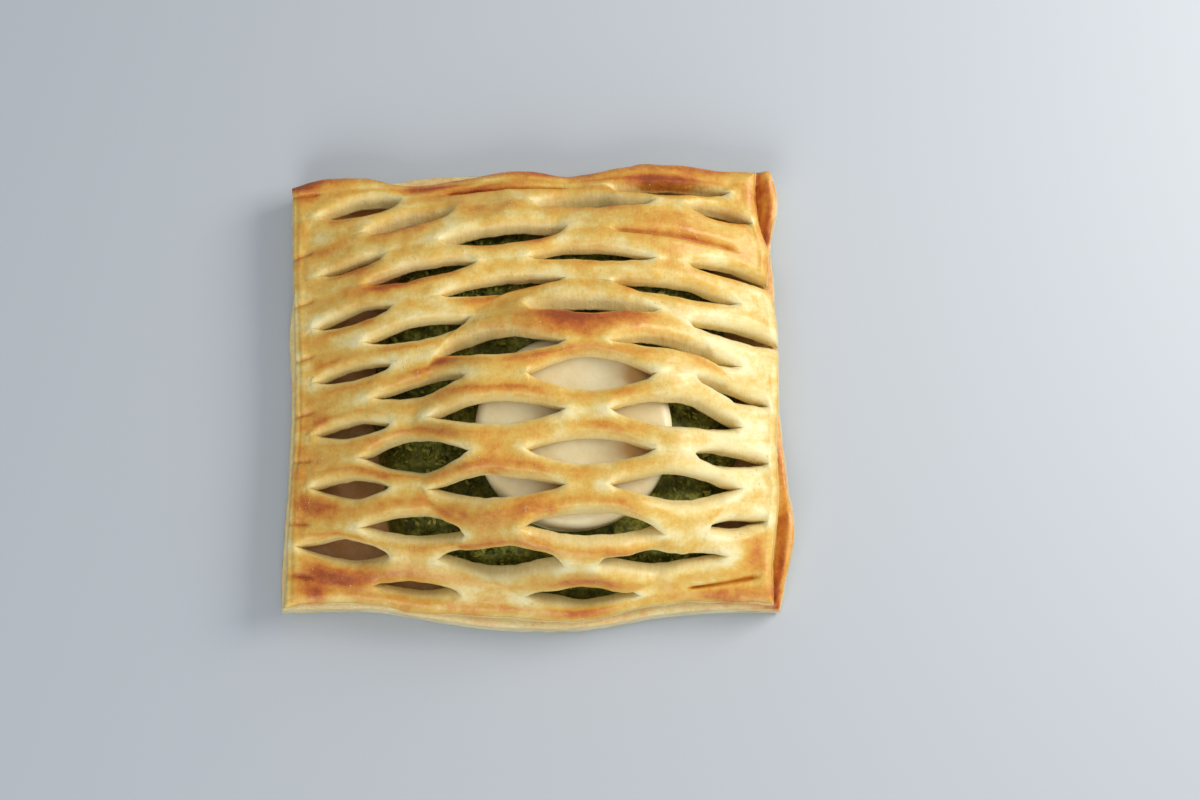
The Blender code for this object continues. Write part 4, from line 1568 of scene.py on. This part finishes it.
@dataclass
class Filling:
    """The chopped spinach: a lumpy mound with scraps of leaf on it, level under the cheese."""

    form: Form
    centre_x: float = 3.8 * MM
    centre_y: float = -2.4 * MM
    half_width: float = 43.4 * MM
    half_depth: float = 47.0 * MM
    roundness: float = 0.36
    fullness: int = 6
    side: float = 0.8 * MM
    drop: float = 1.3 * MM
    lump: float = 0.45 * MM
    # The level seat under the cheese.
    seat_margin: float = 4.0 * MM
    seat_run: float = 2.5 * MM
    seat_gap: float = 0.4 * MM
    cells: int = 130
    # Ragged outline, lumps in millimetres, and loose scraps of leaf.
    ragged_x: Grain = Grain(45, 5.0 * MM, 1.3 * MM)
    ragged_y: Grain = Grain(46, 5.0 * MM, 1.3 * MM)
    clumps: tuple[Grain, ...] = (
        Grain(41, 2.6 * MM, 0.5), Grain(42, 1.3 * MM, 0.42), Grain(43, 0.7 * MM, 0.22),
    )
    scraps: int = 1500
    scrap_seed: int = 44
    scrap_reach: float = 0.93
    scrap_size: Pair = (0.5 * MM, 1.5 * MM)
    scrap_width: Pair = (0.2, 0.6)
    scrap_thickness: Pair = (0.15, 0.35)
    scrap_tilt: float = 0.35
    scrap_lift: float = 0.25 * MM
    scrap_crumple: float = 0.09
    scrap_tone: Pair = (0.2, 1.25)
    cheese_clearance: float = 1.5 * MM

    def top(self, x: np.ndarray, y: np.ndarray, edge: np.ndarray) -> np.ndarray:
        """Gives the height of the smooth mound.

        Args:
            x: Places along X.
            y: Places along Y.
            edge: How far each place is from the mound's side, 0 at the side and 1 well inside.

        Returns:
            The heights.
        """
        form = self.form
        bottom = form.floor_top + form.rest_gap
        height = form.mound(x, y) - self.drop - 2 * self.lump
        away = np.hypot(x - form.cheese_x, y - form.cheese_y)
        seat = smooth((form.cheese_radius + self.seat_margin - away) / self.seat_run)
        height += (form.cheese_bottom - form.rest_gap - self.seat_gap - height) * seat
        return bottom + self.side + (height - bottom - self.side) * edge

    def place(self, across: np.ndarray, along: np.ndarray) -> tuple[np.ndarray, np.ndarray]:
        """Lays out a square as the mound's rounded outline.

        Args:
            across: From -1 at the left to 1 at the right.
            along: From -1 at the front to 1 at the back.

        Returns:
            The places along X and Y.
        """
        x = self.centre_x + self.half_width * across * np.sqrt(1 - self.roundness * along**2)
        y = self.centre_y + self.half_depth * along * np.sqrt(1 - self.roundness * across**2)
        return x, y

    def build(self) -> bpy.types.Object:
        """Makes the piece.

        Returns:
            The piece.
        """
        heap = flat_grid(self.cells, self.cells)
        lower = bmesh.ops.extrude_face_region(heap, geom=heap.faces[:], use_keep_orig=True)["geom"]
        for item in lower:
            if isinstance(item, bmesh.types.BMVert):
                item.co.z = -1.0
        grid = np.array([vertex.co[:] for vertex in heap.verts])
        across = 2 * grid[:, 0] / self.cells - 1
        along = 2 * grid[:, 1] / self.cells - 1
        x, y = self.place(across, along)
        rim = np.maximum(np.abs(across), np.abs(along)) ** 3
        x = x + rim * self.ragged_x.at(x, y)
        y = y + rim * self.ragged_y.at(x, y)
        edge = np.sqrt(1 - np.maximum(np.abs(across), np.abs(along)) ** self.fullness)
        lumps = relief(self.clumps, x, y)
        height = self.top(x, y, edge) + lumps * MM * np.minimum(1, edge * 2)
        bottom = self.form.floor_top + self.form.rest_gap
        spots = np.stack([x, y, np.where(grid[:, 2] < 0, bottom, height)], axis=1)
        for vertex, spot in zip(heap.verts, spots):
            vertex.co = spot
        # Painted light and shade: higher lumps read lighter, lower ones darker.
        lump_shade_and_scrap_tone = list(0.5 + 0.5 * lumps)
        self.scatter(heap, lump_shade_and_scrap_tone)
        return to_object(
            heap, "spinach_mound", ChoppedLeaf("chopped_spinach").build(), "spinach_filling",
            {"lump_shade_and_scrap_tone": np.array(lump_shade_and_scrap_tone)}, ALL_SMOOTH,
        )

    def scatter(self, heap: bmesh.types.BMesh, lump_shade_and_scrap_tone: list[float]) -> None:
        """Lays scraps of leaf on the mound, bent and turned at random.

        Args:
            heap: The mound's mesh, which takes the scraps.
            lump_shade_and_scrap_tone: What the finish reads at each vertex, which grows with the scraps.
        """
        draw = np.random.default_rng(self.scrap_seed)
        for _ in range(self.scraps):
            across, along = draw.uniform(-self.scrap_reach, self.scrap_reach, 2)
            x, y = self.place(across, along)
            away = math.hypot(x - self.form.cheese_x, y - self.form.cheese_y)
            if away < self.form.cheese_radius + self.cheese_clearance:
                continue
            edge = math.sqrt(1 - max(abs(across), abs(along)) ** self.fullness)
            size = draw.uniform(*self.scrap_size)
            scrap = bmesh.ops.create_icosphere(heap, subdivisions=1, radius=size)["verts"]
            width = draw.uniform(*self.scrap_width)
            thickness = draw.uniform(*self.scrap_thickness)
            shape = Matrix.Diagonal((1.0, width, thickness, 1.0))
            tilts = draw.normal(0, self.scrap_tilt), draw.normal(0, self.scrap_tilt)
            turn = Euler((*tilts, draw.uniform(0, 2 * math.pi))).to_matrix().to_4x4()
            spot = Vector((x, y, float(self.top(x, y, edge)) + self.scrap_lift))
            bmesh.ops.transform(heap, matrix=Matrix.Translation(spot) @ turn @ shape, verts=scrap)
            tone = draw.uniform(*self.scrap_tone)
            for vertex in scrap:
                vertex.co += Vector(draw.normal(0, self.scrap_crumple, 3)) * size
            lump_shade_and_scrap_tone += [tone] * len(scrap)


@dataclass
class CheeseRound:
    """The round of cheese: a soft disc with a rounded rim and a faintly uneven face."""

    form: Form
    sides: int = 96
    rounding: float = 2.4 * MM
    rounding_steps: int = 6
    rings: int = 9
    ring_step: float = 2.1 * MM
    waves: tuple[Grain, ...] = (Grain(51, 7.0 * MM, 0.18), Grain(52, 2.5 * MM, 0.05))
    sag: float = 0.3
    sag_starts: float = 0.3
    lobes: int = 3
    lobe_turn: float = 0.7
    out_of_round: float = 0.006
    ragged: float = 0.01
    # Egg wash in the corners of the openings.
    films: tuple[Patch, ...] = (
        Patch(26, 2, 6, 3.6, 1.3),
        Patch(26, -15.5, 7, 3.2, 1.4),
        Patch(10, -7, 4.5, 2.6, 0.9),
        Patch(8, -24, 6.5, 2.6, 0.9),
    )

    def build(self) -> bpy.types.Object:
        """Makes the piece.

        Returns:
            The piece.
        """
        form = self.form
        disc = bmesh.new()
        depth = form.cheese_top - form.cheese_bottom
        bmesh.ops.create_cone(
            disc, cap_ends=True, segments=self.sides, radius1=form.cheese_radius,
            radius2=form.cheese_radius, depth=depth,
        )
        rims = [edge for edge in disc.edges if abs(edge.verts[0].co.z - edge.verts[1].co.z) < MM]
        bmesh.ops.bevel(
            disc, geom=rims, offset=self.rounding, segments=self.rounding_steps, profile=0.5,
            affect="EDGES", material=-1,
        )
        for _ in range(self.rings):
            caps = [face for face in disc.faces if len(face.verts) > 4 and face.normal.z > 0.9]
            bmesh.ops.inset_region(disc, faces=caps, thickness=self.ring_step)
        for vertex in disc.verts:
            x, y = vertex.co.x, vertex.co.y
            away = math.hypot(x, y)
            wave = float(relief(self.waves, x, y))
            if vertex.co.z > 0:
                vertex.co.z += (wave - self.sag * smooth(away / form.cheese_radius - self.sag_starts)) * MM
            lobe = math.sin(self.lobes * math.atan2(y, x) + self.lobe_turn)
            edge_wave = 1 + self.out_of_round * lobe + self.ragged * wave
            vertex.co.x = x * edge_wave + form.cheese_x
            vertex.co.y = y * edge_wave + form.cheese_y
            vertex.co.z += 0.5 * (form.cheese_top + form.cheese_bottom)
        x, y = np.array([vertex.co[:2] for vertex in disc.verts]).T
        film = sum(patch.at(x, y) for patch in self.films)
        return to_object(
            disc, "cheese_disc", SoftCheese("soft_cheese").build(), "cheese_round", {"film": film},
            ALL_SMOOTH,
        )


@dataclass(frozen=True)
class SoftLight:
    """A soft light.

    Args:
        name: The light's name.
        spot: Where it is, in metres.
        size: How wide it is, in metres.
        power: Its power, in watts.
        colour: Its colour.
    """

    name: str
    spot: Triple
    size: float
    power: float
    colour: Colour

    def build(self, aim: Vector) -> None:
        """Adds the light.

        Args:
            aim: Where it points.
        """
        data = bpy.data.lights.new(self.name, "AREA")
        data.size = self.size
        data.energy = self.power
        data.color = self.colour
        lamp = bpy.data.objects.new(self.name, data)
        lamp.location = self.spot
        lamp.rotation_euler = (aim - Vector(self.spot)).to_track_quat("-Z", "Y").to_euler()
        bpy.context.scene.collection.objects.link(lamp)


@dataclass(frozen=True)
class Studio:
    """The floor, the lights, the sky and the camera."""

    aim: Triple = (14.6 * MM, 0.0, 0.0)
    distance: float = 600 * MM
    tilt: float = 10.0
    lens: float = 75.0
    sensor: float = 36.0
    floor_size: float = 3.0
    sky_colour: Colour = (0.93, 0.96, 1.0)
    sky_strength: float = 0.42
    lights: tuple[SoftLight, ...] = (
        SoftLight("key", (0.40, 0.15, 0.30), 0.28, 1.95, (1.0, 0.95, 0.87)),
        SoftLight("fill", (-0.15, -0.80, 0.60), 0.6, 3.75, (1.0, 0.98, 0.94)),
    )

    def build(self) -> None:
        """Adds the floor, the lights, the sky and the camera."""
        scene = bpy.context.scene
        scene.view_settings.view_transform = "Standard"
        floor = bmesh.new()
        bmesh.ops.create_grid(floor, x_segments=1, y_segments=1, size=self.floor_size / 2)
        data = bpy.data.meshes.new("floor")
        floor.to_mesh(data)
        floor.free()
        data.materials.append(PlainFloor("pale_floor").build())
        ground = bpy.data.objects.new("floor", data)
        scene.collection.objects.link(ground)

        aim = Vector(self.aim)
        for light in self.lights:
            light.build(aim)
        world = bpy.data.worlds.new("sky")
        world.use_nodes = True
        background = world.node_tree.nodes["Background"]
        background.inputs["Color"].default_value = (*self.sky_colour, 1.0)
        background.inputs["Strength"].default_value = self.sky_strength
        scene.world = world

        tilt = math.radians(self.tilt)
        data = bpy.data.cameras.new("camera")
        data.lens = self.lens
        data.sensor_width = self.sensor
        camera = bpy.data.objects.new("camera", data)
        camera.location = aim + self.distance * Vector((0.0, -math.sin(tilt), math.cos(tilt)))
        camera.rotation_euler = (tilt, 0.0, 0.0)
        scene.collection.objects.link(camera)
        scene.camera = camera


def main() -> None:
    """Builds every piece."""
    logging.basicConfig(level=logging.INFO)
    form = Form()
    Studio().build()
    BaseSheet(form).build()
    Filling(form).build()
    CheeseRound(form).build()
    TopSheet(form, Cuts(form)).build()


if __name__ == "__main__":
    main()
